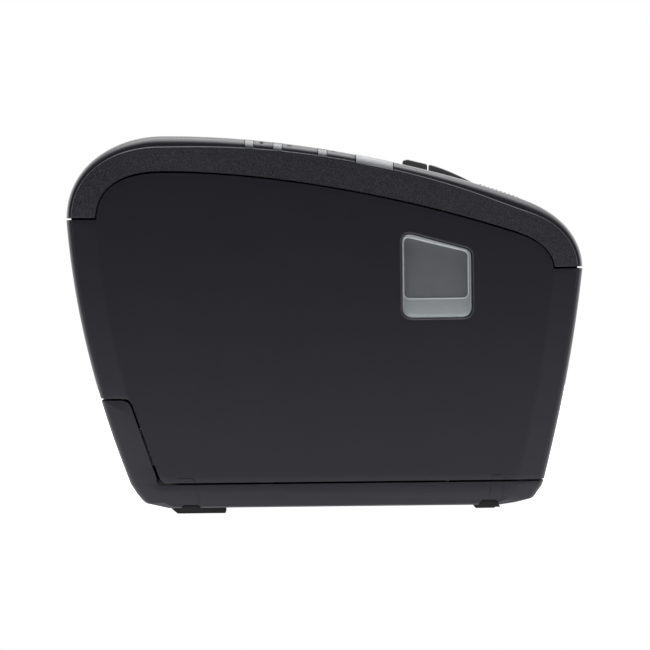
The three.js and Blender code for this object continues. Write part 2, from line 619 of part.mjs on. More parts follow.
function addPrintHead() {
  const { x, z, r } = HEAD_PIVOT;
  add('head_pivot_pin', rod(x, z, r, -48, WELL_FLOOR_Y - FIT, 16), 'steel');
  const lever = [[50.2, 79.5], [57, 79.5], [60, 77], [60, 62], [54.5, 62], [50.2, 73]];
  add('head_arm', prism(lever, ...HEAD_Y).subtract(rod(x, z, r + FIT, -50, 0, 16)), 'steel');
  const nose = [[55, 61.7], [63, 61.7], [63, 57.4], [61, 55.3], [58.4, 55.3], [55, 58]];
  add('print_head', prism(nose, ...HEAD_Y), 'aluminium');
  let sink = box(60.3, 64.6, ...HEAD_Y, 63, 79);
  for (let i = 0; i < FINS.count; i += 1) {
    const y = FINS.y + i * FINS.pitch;
    sink = sink.subtract(box(61.8, 66, y, y + FINS.gap, 60, 81));
  }
  add('head_heat_sink', sink, 'aluminium');
}

function addCutter() {
  const [x0, x1] = BLADE_X;
  add('fixed_blade', box(x1 + 0.3, x1 + 1.3, -48, -6, 47.5, 52.5), 'steel');
  const edge = new THREE.Shape([[-47.6, 61.5], [-6.4, 64.5], [-6.4, 76], [-47.6, 76]].map(point));
  const g = new THREE.ExtrudeGeometry(edge, { depth: x1 - x0, bevelEnabled: false });
  g.applyMatrix4(new THREE.Matrix4().makeBasis(
    new THREE.Vector3(0, 1, 0), new THREE.Vector3(0, 0, 1), new THREE.Vector3(1, 0, 0)));
  g.translate(x0, 0, 0);
  add('cutter_blade', solid(g), 'steel');
  add('cutter_motor', rod(62, 82, 9, 1, 28, 28), 'steel');
}

// ---------------------------------------------------------------- electronics
// The key board lies under the sloping top.
const KEY_BOARD = { x0: -34, x1: 58, z: 126, slope: -0.19, thick: 1.6, y0: -47, y1: -30 };

function addElectronics() {
  const board = prism([[-52, 22], [62, 22], [66, 84], [40, 98], [-52, 106]], 50, 51.6)
    .add(box(-40, -18, 46, 50.5, 40, 62)).add(box(-6, 20, 48, 50.5, 60, 84))
    .add(box(30, 44, 45, 50.5, 74, 80));
  add('main_board', board, 'board');
  add('main_capacitor', rod(-34, 82, 6, 38, 49.7, 24), 'rubber');
  add('board_shield', box(-10.5, 24.5, 40, 47.7, 56, 88), 'steel');
  const { x0: left, x1: right, thick } = KEY_BOARD;
  const boardZ = (x) => KEY_BOARD.z + (x + 32) * KEY_BOARD.slope;
  const strip = prism([
    [left, boardZ(left)], [right, boardZ(right)],
    [right, boardZ(right) - thick], [left, boardZ(left) - thick],
  ], KEY_BOARD.y0, KEY_BOARD.y1);
  const keys = [POWER, FEED].map(({ x0, x1 }) => (x0 + x1) / 2)
    .map((x) => box(x - 3, x + 3, -43.5, -37.5, boardZ(x) - 1, boardZ(x) + 2.2));
  add('key_board', keys.reduce((sum, key) => sum.add(key), strip), 'board');
  LAMP_X.forEach((x, i) => {
    const z = topZ(x) - 6.6;
    add(`light_pipe_${i + 1}`, box(x - 1, x + 1, -53.1, -44, z - 2, z), 'lens');
  });
}

addTopCover();
addSidePanels();
addFrontAndRear();
addBase();
addChassis();
addDrive();
addPrintHead();
addCutter();
addElectronics();

export default machine;
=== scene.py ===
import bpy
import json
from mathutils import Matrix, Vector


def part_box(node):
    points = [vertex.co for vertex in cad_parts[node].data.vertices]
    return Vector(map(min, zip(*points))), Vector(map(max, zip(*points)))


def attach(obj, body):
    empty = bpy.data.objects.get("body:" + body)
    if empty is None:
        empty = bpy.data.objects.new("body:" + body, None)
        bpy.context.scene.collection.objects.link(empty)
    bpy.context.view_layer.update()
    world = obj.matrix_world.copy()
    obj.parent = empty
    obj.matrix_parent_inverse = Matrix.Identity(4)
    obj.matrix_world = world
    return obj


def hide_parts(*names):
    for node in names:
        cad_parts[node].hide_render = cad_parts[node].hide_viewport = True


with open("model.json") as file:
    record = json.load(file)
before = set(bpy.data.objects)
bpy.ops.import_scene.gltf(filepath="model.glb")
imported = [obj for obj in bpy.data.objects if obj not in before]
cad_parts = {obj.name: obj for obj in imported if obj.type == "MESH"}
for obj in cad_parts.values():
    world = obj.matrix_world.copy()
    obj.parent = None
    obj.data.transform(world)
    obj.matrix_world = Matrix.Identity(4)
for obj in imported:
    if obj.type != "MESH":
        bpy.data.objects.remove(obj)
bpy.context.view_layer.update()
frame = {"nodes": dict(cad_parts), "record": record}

import json
from math import cos, hypot, pi, radians, sin

import bmesh
import bpy
from mathutils import Matrix, Vector

# Lengths below are in millimetres, and meshes are scaled to metres as they are made.
MM = 0.001

# ------------------------------------------------------------------ driving dimensions
HALF_WIDTH = 59.0
CREASE_Y = 57.3
FILLET_END_Y = 52.6
WALL = 2.4
SEAM = 0.75
PART_Y = 50.0
REAR_NOTCH_Z = 110.2
FRONT_NOTCH_Z = 90.2
BASE_SEAM_Z = 11.15
RISER_Z = 42.7
UNDERSIDE_Z = 2.3
CREASE_END = 2.3
CREASE_TOP = 4.4
FIT = 0.3
FAR = 130.0
CROWN = 0.12
FILLET_STEPS = 9
TOP_LEDGE = 0.4
SIDE_LEDGE = 0.2
# Only edges sharper than this are rounded, so that the ledge at the crease stays as it is.
SEAM_ANGLE = 66

# Controls of the silhouette and of the flat side face, stretch by stretch.
STRETCHES = {
    "rear": (
        [(-73.2, 11.6), (-84, 39.9), (-93.2, 71.8), (-95.9, REAR_NOTCH_Z)],
        [(-62.3, 11.8), (-69.5, 30.6), (-81.9, 61.8), (-84.3, REAR_NOTCH_Z)],
    ),
    "rear_top": (
        [(-95.9, REAR_NOTCH_Z), (-95.9, 129.9), (-77.9, 140.8), (-60, 140.8)],
        [(-84.3, REAR_NOTCH_Z), (-84.3, 116), (-81.4, 127.2), (-60, 127.2)],
    ),
    "top": (
        [(-60, 140.8), (-10.7, 140.8), (44, 127.5), (74.6, 115.6)],
        [(-60, 127.2), (-30.8, 127.2), (17.6, 121.1), (70.5, 103.6)],
    ),
    "front_top": (
        [(74.6, 115.6), (94.4, 107.9), (96, 94.9), (96, FRONT_NOTCH_Z)],
        [(70.5, 103.6), (72.7, 102.9), (84, 99.7), (84.9, FRONT_NOTCH_Z)],
    ),
    "front": (
        [(96, FRONT_NOTCH_Z), (92.4, 60), (87.2, 36.3), (80.8, 11.4)],
        [(84.9, FRONT_NOTCH_Z), (82.5, 64.4), (77.8, 38.2), (70.9, 11.6)],
    ),
}
BASE_OUTER = [(80.8, 11.4), (80, 9.4), (77, 5.2), (76, 4.5), (70, 3.05), (64.4, UNDERSIDE_Z),
              (-58.6, UNDERSIDE_Z), (-60.2, 2.6), (-67.5, 4.3), (-68.7, 5.3), (-70.8, 7.8)]
# The base outline's corners that also shape its inside, by place in the two lists.
BASE_INNER = (0, 3, 5, 6, 9, 10)
BASE_FLAT = [(70.9, 11.6), (70.3, 9.4), (68.6, 6.3), (67.8, 5.5), (65.6, 4.3), (62.6, 3.1),
             (-56.8, 3.1), (-57.6, 3.4), (-60.4, 4.7), (-61, 5.6), (-61.6, 8.2)]


# ------------------------------------------------------------------ small geometry
def mix(a, b, t):
    return tuple(p + (q - p) * t for p, q in zip(a, b))


def bezier(controls, t):
    points = list(controls)
    while len(points) > 1:
        points = [mix(a, b, t) for a, b in zip(points, points[1:])]
    return points[0]


def stretch(name, steps, close=False):
    """(silhouette point, flat face point) pairs along one stretch."""
    outer, flat = STRETCHES[name]
    last = steps + 1 if close else steps
    return [(bezier(outer, i / steps), bezier(flat, i / steps)) for i in range(last)]


def crease_width(outer, flat):
    width = hypot(outer[0] - flat[0], outer[1] - flat[1])
    topness = abs(outer[1] - flat[1]) / width if outer[1] > 60 else 0
    return min(CREASE_END + (CREASE_TOP - CREASE_END) * topness, 0.6 * width)


def lookup(rows, value):
    """Linear interpolation in rows of (key, result), keys rising."""
    for (k0, r0), (k1, r1) in zip(rows, rows[1:]):
        if value <= k1:
            return r0 + (r1 - r0) * (value - k0) / (k1 - k0)
    return rows[-1][1]


def edge_tables(name):
    """x of the silhouette and of the flat face by height, for a rear or front stretch."""
    pairs = stretch(name, 60, close=True)
    tables = []
    for k in (0, 1):
        tables.append(sorted((pair[k][1], pair[k][0]) for pair in pairs))
    return tables


def resample(points, count):
    """count points spaced evenly along a polyline."""
    lengths = [0.0]
    for a, b in zip(points, points[1:]):
        lengths.append(lengths[-1] + hypot(b[0] - a[0], b[1] - a[1]))
    rows_x = list(zip(lengths, (p[0] for p in points)))
    rows_z = list(zip(lengths, (p[1] for p in points)))
    steps = [lengths[-1] * i / (count - 1) for i in range(count)]
    return [(lookup(rows_x, s), lookup(rows_z, s)) for s in steps]


def rounded(points, radii, steps=6):
    """Closed outline with each corner replaced by an arc of the given radius."""
    out = []
    count = len(points)
    for i, (p, r) in enumerate(zip(points, radii)):
        if r == 0:
            out.append(p)
            continue
        a = Vector(points[i - 1]) - Vector(p)
        b = Vector(points[(i + 1) % count]) - Vector(p)
        half = a.angle(b) / 2
        reach = min(r / max(sin(half) / cos(half), 1e-6), 0.49 * a.length, 0.49 * b.length)
        start = Vector(p) + a.normalized() * reach
        end = Vector(p) + b.normalized() * reach
        for k in range(steps + 1):
            t = k / steps
            q = start * (1 - t) ** 2 + Vector(p) * 2 * t * (1 - t) + end * t ** 2
            out.append((q.x, q.y))
    return out


def offset(points, distance):
    """Closed outline moved inwards by a distance."""
    count = len(points)
    area = sum(points[i - 1][0] * points[i][1] - points[i][0] * points[i - 1][1] for i in range(count))
    turn = 1 if area > 0 else -1
    out = []
    for i, p in enumerate(points):
        a = Vector(p) - Vector(points[i - 1])
        b = Vector(points[(i + 1) % count]) - Vector(p)
        n1 = Vector((-a.y, a.x)).normalized() * turn
        n2 = Vector((-b.y, b.x)).normalized() * turn
        out.append(tuple(Vector(p) + (n1 + n2) * (distance / (1 + n1.dot(n2)))))
    return out


# ------------------------------------------------------------------ mesh building
def make_object(name, vertices, faces, repair=True):
    mesh = bpy.data.meshes.new(name)
    mesh.from_pydata([tuple(c * MM for c in v) for v in vertices], [], faces)
    if repair:
        bm = bmesh.new()
        bm.from_mesh(mesh)
        bmesh.ops.remove_doubles(bm, verts=bm.verts, dist=1e-7)
        bmesh.ops.recalc_face_normals(bm, faces=bm.faces)
        bm.to_mesh(mesh)
        bm.free()
    obj = bpy.data.objects.new(name, mesh)
    bpy.context.scene.collection.objects.link(obj)
    return obj


def bake(obj):
    """Replaces an object's mesh by what its modifiers make of it."""
    graph = bpy.context.evaluated_depsgraph_get()
    mesh = bpy.data.meshes.new_from_object(obj.evaluated_get(graph))
    obj.modifiers.clear()
    old = obj.data
    obj.data = mesh
    bpy.data.meshes.remove(old)
    return obj


def bevel(obj, width, segments=2, angle=40):
    mod = obj.modifiers.new("edge", "BEVEL")
    mod.width = width * MM
    mod.segments = segments
    mod.limit_method = "ANGLE"
    mod.angle_limit = radians(angle)
    return obj


def carve(obj, tools, operation="DIFFERENCE"):
    """Boolean with each tool in turn; the tools are used up."""
    for tool in tools:
        mod = obj.modifiers.new("cut", "BOOLEAN")
        mod.operation = operation
        mod.solver = "EXACT"
        mod.object = tool
        bake(obj)
        bpy.data.objects.remove(tool)
    return obj


def smooth(obj, angle=32):
    for polygon in obj.data.polygons:
        polygon.use_smooth = True
    obj.data.set_sharp_from_angle(angle=radians(angle))
    return obj


def loft(name, rings):
    """Closed body through rings of equal length; each ring is a closed loop of (x, y, z)."""
    count = len(rings[0])
    vertices = [v for ring in rings for v in ring]
    faces = []
    for r in range(len(rings) - 1):
        for i in range(count):
            a = r * count + i
            b = r * count + (i + 1) % count
            faces.append((a, b, b + count, a + count))
    faces.append(tuple(range(count)))
    faces.append(tuple(range((len(rings) - 1) * count, len(rings) * count)))
    return make_object(name, vertices, faces)


def prism_y(name, outline, y0, y1):
    return loft(name, [[(x, y, z) for x, z in outline] for y in (y0, y1)])


def prism_z(name, outline, z0, z1):
    return loft(name, [[(x, y, z) for x, y in outline] for z in (z0, z1)])


def prism_x(name, outline, x0, x1):
    return loft(name, [[(x, y, z) for y, z in outline] for x in (x0, x1)])


def rectangle(a0, a1, b0, b1, radius=0.0, steps=5):
    corners = [(a0, b0), (a1, b0), (a1, b1), (a0, b1)]
    return rounded(corners, [radius] * 4, steps) if radius else corners


def circle(a, b, r, sides=40):
    return [(a + r * cos(2 * pi * i / sides), b + r * sin(2 * pi * i / sides)) for i in range(sides)]


def block(name, x0, x1, y0, y1, z0, z1):
    return prism_z(name, rectangle(x0, x1, y0, y1), z0, z1)


def node_box(name):
    """A CAD node's box in millimetres: x0, x1, y0, y1, z0, z1."""
    low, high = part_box(name)
    return [v / MM for pair in zip(low, high) for v in pair]


# ------------------------------------------------------------------ materials
def new_material(name):
    material = bpy.data.materials.new(name)
    material.use_nodes = True
    nodes = material.node_tree.nodes
    return material, nodes, material.node_tree.links, nodes["Principled BSDF"]


def coordinates(nodes, links, stretch_by=(1, 1, 1)):
    source = nodes.new("ShaderNodeTexCoord")
    mapping = nodes.new("ShaderNodeMapping")
    mapping.inputs["Scale"].default_value = stretch_by
    links.new(source.outputs["Object"], mapping.inputs["Vector"])
    return mapping.outputs["Vector"]


def noise(nodes, links, vector, size_mm, detail=2.0, roughness=0.5):
    node = nodes.new("ShaderNodeTexNoise")
    node.inputs["Scale"].default_value = 1.0 / (size_mm * MM)
    node.inputs["Detail"].default_value = detail
    node.inputs["Roughness"].default_value = roughness
    links.new(vector, node.inputs["Vector"])
    return node.outputs["Fac"]


def ramp(nodes, links, value, stops):
    node = nodes.new("ShaderNodeValToRGB")
    elements = node.color_ramp.elements
    while len(elements) < len(stops):
        elements.new(0.5)
    for element, (position, color) in zip(elements, stops):
        element.position = position
        element.color = (*color, 1.0)
    links.new(value, node.inputs["Fac"])
    return node.outputs["Color"]


def grey(level):
    return (level, level, level)


def bump(nodes, links, height, depth_mm):
    node = nodes.new("ShaderNodeBump")
    node.inputs["Distance"].default_value = depth_mm * MM
    node.inputs["Strength"].default_value = 1.0
    links.new(height, node.inputs["Height"])
    return node.outputs["Normal"]


def combine(nodes, links, kind, first, second):
    node = nodes.new("ShaderNodeMixRGB")
    node.blend_type = kind
    node.inputs["Fac"].default_value = 1.0
    links.new(first, node.inputs["Color1"])
    links.new(second, node.inputs["Color2"])
    return node.outputs["Color"]


SCUFF = 0.01


def moulded(name, color, grain_mm, depth_mm, roughness, spread, specks=0.0):
    """Moulded plastic: a grain of the given size, a slow drift of tone, and a little dust if asked."""
    material, nodes, links, shader = new_material(name)
    vector = coordinates(nodes, links)
    grain = noise(nodes, links, vector, grain_mm, 3.0, 0.6)
    drift = noise(nodes, links, vector, 22.0, 2.0)
    tone = ramp(nodes, links, grain, [
        (0.3, tuple(c * (1 - spread) for c in color)), (0.7, tuple(c * (1 + spread) for c in color))])
    slow = ramp(nodes, links, drift, [(0.3, grey(0.96)), (0.7, grey(1.03))])
    result = combine(nodes, links, "MULTIPLY", tone, slow)
    if specks:
        spots = nodes.new("ShaderNodeTexVoronoi")
        spots.inputs["Scale"].default_value = 1.0 / (7.0 * MM)
        links.new(vector, spots.inputs["Vector"])
        dots = ramp(nodes, links, spots.outputs["Distance"], [(0.0, grey(specks)), (0.03, grey(0.0))])
        result = combine(nodes, links, "ADD", result, dots)
    links.new(result, shader.inputs["Base Color"])
    wear = noise(nodes, links, vector, 6.0, 3.0)
    gloss = ramp(nodes, links, wear, [(0.35, grey(roughness - SCUFF)), (0.65, grey(roughness + SCUFF))])
    links.new(gloss, shader.inputs["Roughness"])
    links.new(bump(nodes, links, grain, depth_mm), shader.inputs["Normal"])
    shader.inputs["Specular IOR Level"].default_value = 0.42
    return material


def polished(name, color, roughness, transmission):
    """Smooth clear or coloured plastic with a faint orange-peel surface."""
    material, nodes, links, shader = new_material(name)
    vector = coordinates(nodes, links)
    peel = noise(nodes, links, vector, 3.5, 2.0)
    tone = ramp(nodes, links, peel, [(0.3, tuple(c * 0.95 for c in color)), (0.7, color)])
    links.new(tone, shader.inputs["Base Color"])
    shader.inputs["Roughness"].default_value = roughness
    shader.inputs["Transmission Weight"].default_value = transmission
    links.new(bump(nodes, links, peel, 0.01), shader.inputs["Normal"])
    return material


def metal(name, color, roughness, grain=(1, 1, 40)):
    """Drawn or brushed metal: fine lines along one direction."""
    material, nodes, links, shader = new_material(name)
    vector = coordinates(nodes, links, grain)
    lines = noise(nodes, links, vector, 5.0, 4.0, 0.7)
    tone = ramp(nodes, links, lines, [(0.3, tuple(c * 0.82 for c in color)), (0.7, color)])
    links.new(tone, shader.inputs["Base Color"])
    shader.inputs["Metallic"].default_value = 1.0
    gloss = ramp(nodes, links, lines, [(0.3, grey(roughness - 0.08)), (0.7, grey(roughness + 0.1))])
    links.new(gloss, shader.inputs["Roughness"])
    links.new(bump(nodes, links, lines, 0.004), shader.inputs["Normal"])
    return material


PANEL_TONE = (0.0120, 0.0112, 0.0185)
MATERIALS = {
    "panel_plastic": moulded("panel_fine_matte", PANEL_TONE, 0.25, 0.006, 0.52, 0.16, specks=0.05),
    "grained_plastic": moulded("arch_coarse_grain", (0.030, 0.0295, 0.038), 0.5, 0.14, 0.5, 0.75),
    "arch_fillet": moulded("arch_fillet_satin", (0.022, 0.0215, 0.028), 0.3, 0.01, 0.3, 0.15),
    "base_plastic": moulded("base_matte", (0.019, 0.0187, 0.025), 0.25, 0.008, 0.52, 0.18),
    "key_plastic": moulded("key_satin", (0.14, 0.14, 0.145), 0.2, 0.003, 0.36, 0.1),
    "inlay_plastic": moulded("inlay_satin", (0.018, 0.018, 0.021), 0.25, 0.004, 0.4, 0.12),
    "silver_plastic": moulded("silver_satin", (0.25, 0.255, 0.265), 0.2, 0.003, 0.34, 0.05),
    "inner_plastic": moulded("inner_moulding", (0.035, 0.035, 0.037), 0.4, 0.015, 0.5, 0.2),
    "cassette_plastic": moulded("cassette_moulding", (0.30, 0.31, 0.32), 0.35, 0.01, 0.45, 0.06),
    "gear_plastic": moulded("acetal", (0.72, 0.70, 0.64), 0.5, 0.004, 0.4, 0.04),
    "label_tape": moulded("wound_tape", (0.80, 0.79, 0.75), 0.3, 0.02, 0.5, 0.08),
    "ribbon_film": moulded("wound_film", (0.012, 0.012, 0.014), 0.3, 0.006, 0.25, 0.2),
    "rubber": moulded("rubber", (0.0065, 0.0062, 0.008), 0.3, 0.02, 0.72, 0.25),
    "circuit_board": moulded("solder_mask", (0.012, 0.085, 0.035), 0.8, 0.006, 0.35, 0.2),
    "lamp_lens": polished("lamp_lens", (0.15, 0.155, 0.165), 0.22, 0.2),
    "smoke_window": polished("smoke_window", (0.235, 0.248, 0.258), 0.2, 0.25),
    # Near-white colour for the window step: a painted highlight that stands in for the light line along
    # the edge of the tray floor.
    "step_painted_highlight": polished("step_painted_highlight", (0.78, 0.80, 0.82), 0.25, 0.04),
    "rim_satin": moulded("rim_satin", (0.062, 0.058, 0.072), 0.3, 0.003, 0.4, 0.1),
    "frosted_wall": polished("frosted_wall", (0.40, 0.43, 0.455), 0.42, 0.1),
    "steel": metal("steel_drawn", (0.55, 0.56, 0.57), 0.34),
    "aluminium": metal("aluminium_milled", (0.72, 0.73, 0.74), 0.36, (40, 1, 1)),
    "brass": metal("brass_turned", (0.66, 0.50, 0.24), 0.3, (1, 40, 1)),
}


def place(obj, node, body, slot, material=None):
    """Gives a finished piece its material (the slot's unless another is given) and its body, and hides the
    CAD node that it stands for.
    """
    obj.data.materials.clear()
    obj.data.materials.append(material or MATERIALS[slot])
    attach(obj, body)
    if node:
        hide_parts(node)
    return obj


def finish_piece(obj, edge, node, body, slot, material=None, sharp=32):
    """Rounds a piece's edges by (width, segments, least angle) and places it."""
    bake(bevel(obj, *edge))
    return place(smooth(obj, sharp), node, body, slot, material)


# ------------------------------------------------------------------ top cover
def crown(y):
    """How far the outer surface falls inside the silhouette towards the body's two sides."""
    return CROWN * (y / FILLET_END_Y) ** 2


def fillet_profile(crease, ledge):
    """(inset, y) from the ledge at the crease round the fillet to the crowned surface."""
    foot = crease - 0.9 * ledge
    depth = CREASE_Y - ledge - FILLET_END_Y
    climb = max(foot - CROWN, 0.2)
    points = [(crease, CREASE_Y), (crease - 0.45 * ledge, CREASE_Y - 0.75 * ledge)]
    turn = FILLET_STEPS - 2
    for k in range(turn + 1):
        angle = k / turn * pi / 2
        points.append((foot - climb * sin(angle), FILLET_END_Y + depth * cos(angle)))
    return points


def top_profile(width, crease):
    """Closed loop of (inset, y) across the top cover at one station."""
    edge = width - SEAM / 2
    half = [(edge, HALF_WIDTH)]
    for t in (0.04, 0.35, 0.65, 0.9, 0.97):
        half.append((edge + (crease - edge) * t, HALF_WIDTH + (CREASE_Y - HALF_WIDTH) * t))
    half += fillet_profile(crease, TOP_LEDGE)
    middle = [(crown(FILLET_END_Y * k / 6), FILLET_END_Y * k / 6) for k in range(5, 0, -1)]
    inner = [(edge, HALF_WIDTH - WALL), (crease + 2.4, HALF_WIDTH - WALL - 1.3),
             (0.45 * crease + WALL, FILLET_END_Y - 0.2), (WALL, FILLET_END_Y - 2.6)]
    inner_middle = [(WALL, (FILLET_END_Y - 2.6) * k / 4) for k in range(3, 0, -1)]
    outside = half + middle + [(0.0, 0.0)]
    inside = inner + inner_middle + [(WALL, 0.0)]
    mirror = [(q, -y) for q, y in reversed(outside[:-1])]
    mirror_in = [(q, -y) for q, y in inside[:-1]]
    return outside + mirror + mirror_in + list(reversed(inside))


def ease(t, start, end):
    """0 before start, 1 after end and a soft climb between them."""
    t = min(max((t - start) / (end - start), 0), 1)
    return t * t * (3 - 2 * t)


def top_crease(share):
    """The crease's inset at a share of the way along the top cover."""
    return CREASE_END + (CREASE_TOP - CREASE_END) * (ease(share, 0.0, 0.3) - ease(share, 0.66, 1.0))


def top_stations():
    """(silhouette point, flat face point) pairs along the top cover, rear end first."""
    return stretch("rear_top", 28) + stretch("top", 44) + stretch("front_top", 26, close=True)


def top_height(x):
    """Height of the top surface at a place along X."""
    rows = [(o[0], o[1]) for o, _ in stretch("top", 60, close=True)]
    return lookup(rows, x)


def top_slope(x):
    return (top_height(x + 2) - top_height(x - 2)) / 4


# Strips behind the cover's two end seams, which close most of the view through them.
SEAM_LIPS = ((-94.2, -83, 105.5, 114.5), (83, 94.2, 86, 94.5))


def top_cover():
    rings = []
    pairs = top_stations()
    for i, (outer, flat) in enumerate(pairs):
        width = hypot(outer[0] - flat[0], outer[1] - flat[1])
        inward = ((flat[0] - outer[0]) / width, (flat[1] - outer[1]) / width)
        ring = []
        for inset, y in top_profile(width, top_crease(i / (len(pairs) - 1))):
            x = outer[0] + inward[0] * inset
            z = outer[1] + inward[1] * inset
            if i == 0:
                z = REAR_NOTCH_Z + SEAM / 2
            if i == len(pairs) - 1:
                z = FRONT_NOTCH_Z + SEAM / 2
            ring.append((x, -y, z))
        rings.append(ring)
    cover = loft("top_cover_shell", rings)
    tools = []
    for k in (1, 2, 3):
        x0, x1, y0, y1, z0, z1 = node_box(f"status_lamp_lens_{k}")
        tools.append(block("cut", x0 - 0.2, x1 + 0.2, y0 - 0.2, y1 + 0.2, z0 - 0.2, z1 + 2))
    for key in ("power_button", "feed_cut_button"):
        x0, x1, y0, y1, z0, z1 = node_box(key)
        tools.append(prism_z("cut", rectangle(x0 - FIT, x1 + FIT, y0 - FIT, y1 + FIT, 1.0), z0, z1 + 4))
    tools.append(release_block(FIT))
    tools.append(shallow_recess("top_inlay", 6.3, 1.0))
    tools.append(shallow_recess("top_grip_strip", 1.2, 0.9))
    carve(cover, tools)
    finish_piece(cover, (0.22, 2, SEAM_ANGLE), "top_cover", "casing", "grained_plastic")
    cover.data.materials.append(MATERIALS["arch_fillet"])
    for polygon in cover.data.polygons:
        side = abs(polygon.center.y) / MM
        outward = polygon.normal.y * polygon.center.y > 0
        if FILLET_END_Y - 0.1 < side < CREASE_Y - 0.1 and outward:
            polygon.material_index = 1
    for x0, x1, z0, z1 in SEAM_LIPS:
        lip = block("seam_lip", x0, x1, -49.5, 49.5, z0, z1)
        finish_piece(lip, (0.4, 2, 40), None, "casing", "inner_plastic")


def surface_sheet(name, outline, low, high, cuts=14):
    """A slab over an XY outline that follows the top surface, between two depths below it."""
    xs = [p[0] for p in outline]
    x0, x1 = min(xs), max(xs)
    bottom = min(top_height(x0), top_height(x1)) - 30
    slab = prism_z(name, outline, bottom, top_height(x0) + 30)
    rows = [x0 - 3 + (x1 - x0 + 6) * i / cuts for i in range(cuts + 1)]
    curve = [(x, top_height(x) - high) for x in rows] + [(x, top_height(x) - low) for x in reversed(rows)]
    band = prism_y(name + "_band", curve, -FAR, FAR)
    return carve(slab, [band], "INTERSECT")


def shallow_recess(node, radius, depth):
    x0, x1, y0, y1, _, _ = node_box(node)
    outline = rectangle(x0 - FIT, x1 + FIT, y0 - FIT, y1 + FIT, radius)
    return surface_sheet("cut", outline, -3, depth + 0.3)


def top_trim():
    x0, x1, y0, y1, _, _ = node_box("top_inlay")
    inlay = surface_sheet("top_inlay_plate", rectangle(x0, x1, y0, y1, 6.0, 8), -0.3, 1.0, 24)
    finish_piece(inlay, (0.3, 3, 40), "top_inlay", "casing", "panel_plastic", MATERIALS["inlay_plastic"])

    x0, x1, y0, y1, _, _ = node_box("top_grip_strip")
    strip = surface_sheet("grip_strip_plate", rectangle(x0, x1, y0, y1, 1.0), 0.1, 0.9)
    ribs = []
    count = 10
    pitch = (x1 - x0 - 1.2) / count
    for i in range(count):
        x = x0 + 0.9 + pitch * (i + 0.5)
        tilt = top_slope(x)
        outline = [(x - 0.5, top_height(x) - 0.4 - 0.5 * tilt), (x - 0.32, top_height(x) + 0.34),
                   (x + 0.32, top_height(x) + 0.34 + 0.6 * tilt), (x + 0.5, top_height(x) - 0.4)]
        ribs.append(prism_y("rib", outline, y0 + 0.8, y1 - 0.8))
    carve(strip, ribs, "UNION")
    finish_piece(strip, (0.1, 1, 40), "top_grip_strip", "casing", "grained_plastic",
                 MATERIALS["inlay_plastic"])


# ------------------------------------------------------------------ controls on the top edge
RELEASE_ACROSS = 8.3
RELEASE_CENTRE = -52.6


def release_block(extra):
    """Sheared block along the inward diagonal, the release button's travel."""
    x0, x1, *_ = node_box("cover_release_button")
    middle = (x0 + x1) / 2
    slope = (top_height(x1) - top_height(x0)) / (x1 - x0)
    half, depth = RELEASE_ACROSS / 2 + extra, 9.0
    corners = rounded([(-half, -depth), (half, -depth), (half, depth), (-half, depth)], [0.6] * 4, 3)
    turned = [(a * cos(pi / 4) - b * sin(pi / 4), a * sin(pi / 4) + b * cos(pi / 4)) for a, b in corners]
    rings = []
    for x in (x0 - extra, x1 + extra):
        z = top_height(middle) - 2 + slope * (x - middle)
        rings.append([(x, RELEASE_CENTRE + a, z + b) for a, b in turned])
    return loft("cut", rings)


def envelope_slab(name, x0, x1, swell):
    """Solid under the top surface and edge fillet between two places along X."""
    steps = 12
    rings = []
    for i in range(steps + 1):
        x = x0 + (x1 - x0) * i / steps
        z = top_height(x)
        profile = [(inset - swell, -y - swell * 0.7) for inset, y in fillet_profile(CREASE_TOP, 0.05)]
        ring = [(x, y, z - inset) for inset, y in profile]
        ring += [(x, -30.0, z + swell), (x, -30.0, z - 25), (x, -CREASE_Y - swell, z - 25)]
        rings.append(ring)
    return loft(name, rings)


def release_button():
    x0, x1, _, _, _, _ = node_box("cover_release_button")
    body = envelope_slab("release_bar", x0, x1, 0.3)
    carve(body, [release_block(0.0)], "INTERSECT")
    finish_piece(body, (0.35, 3, 40), "cover_release_button", "release_button", "silver_plastic")


def lamp_lenses():
    for k in (1, 2, 3):
        x0, x1, y0, y1, z0, z1 = node_box(f"status_lamp_lens_{k}")
        body = envelope_slab(f"lamp_lens_{k}", x0 - 1, x1 + 1, 0.12)
        carve(body, [block("cut", x0, x1, y0 - 0.8, y1 - 0.4, z0 - 1.2, z1 + 2)], "INTERSECT")
        finish_piece(body, (0.18, 2, 40), f"status_lamp_lens_{k}", "casing", "lamp_lens")


def printed_marks():
    """Small generic symbols beside the lamps and the release button: dot, bar, larger dot and arrow."""
    outlines = (
        (-22.9, circle(0, 0, 0.75, 20)),
        (-12.6, rectangle(-0.9, 0.9, -0.35, 0.35, 0.2)),
        (3.7, circle(0, 0, 0.85, 20)),
        (28.0, [(-0.8, -0.7), (0.9, 0.0), (-0.8, 0.7)]),
    )
    for k, (x, outline) in enumerate(outlines):
        mark = envelope_slab(f"printed_mark_{k + 1}", x - 3, x + 3, 0.14)
        stamp = prism_z("cut", [(x + a, -55.3 + b) for a, b in outline], 100, 150)
        carve(mark, [stamp], "INTERSECT")
        carve(mark, [block("cut", x - 3, x + 3, -60, -50, 90, top_height(x) - 5.5)])
        place(smooth(mark), None, "casing", "key_plastic", material=MATERIALS["rubber"])


KEY_PROUD = 2.3


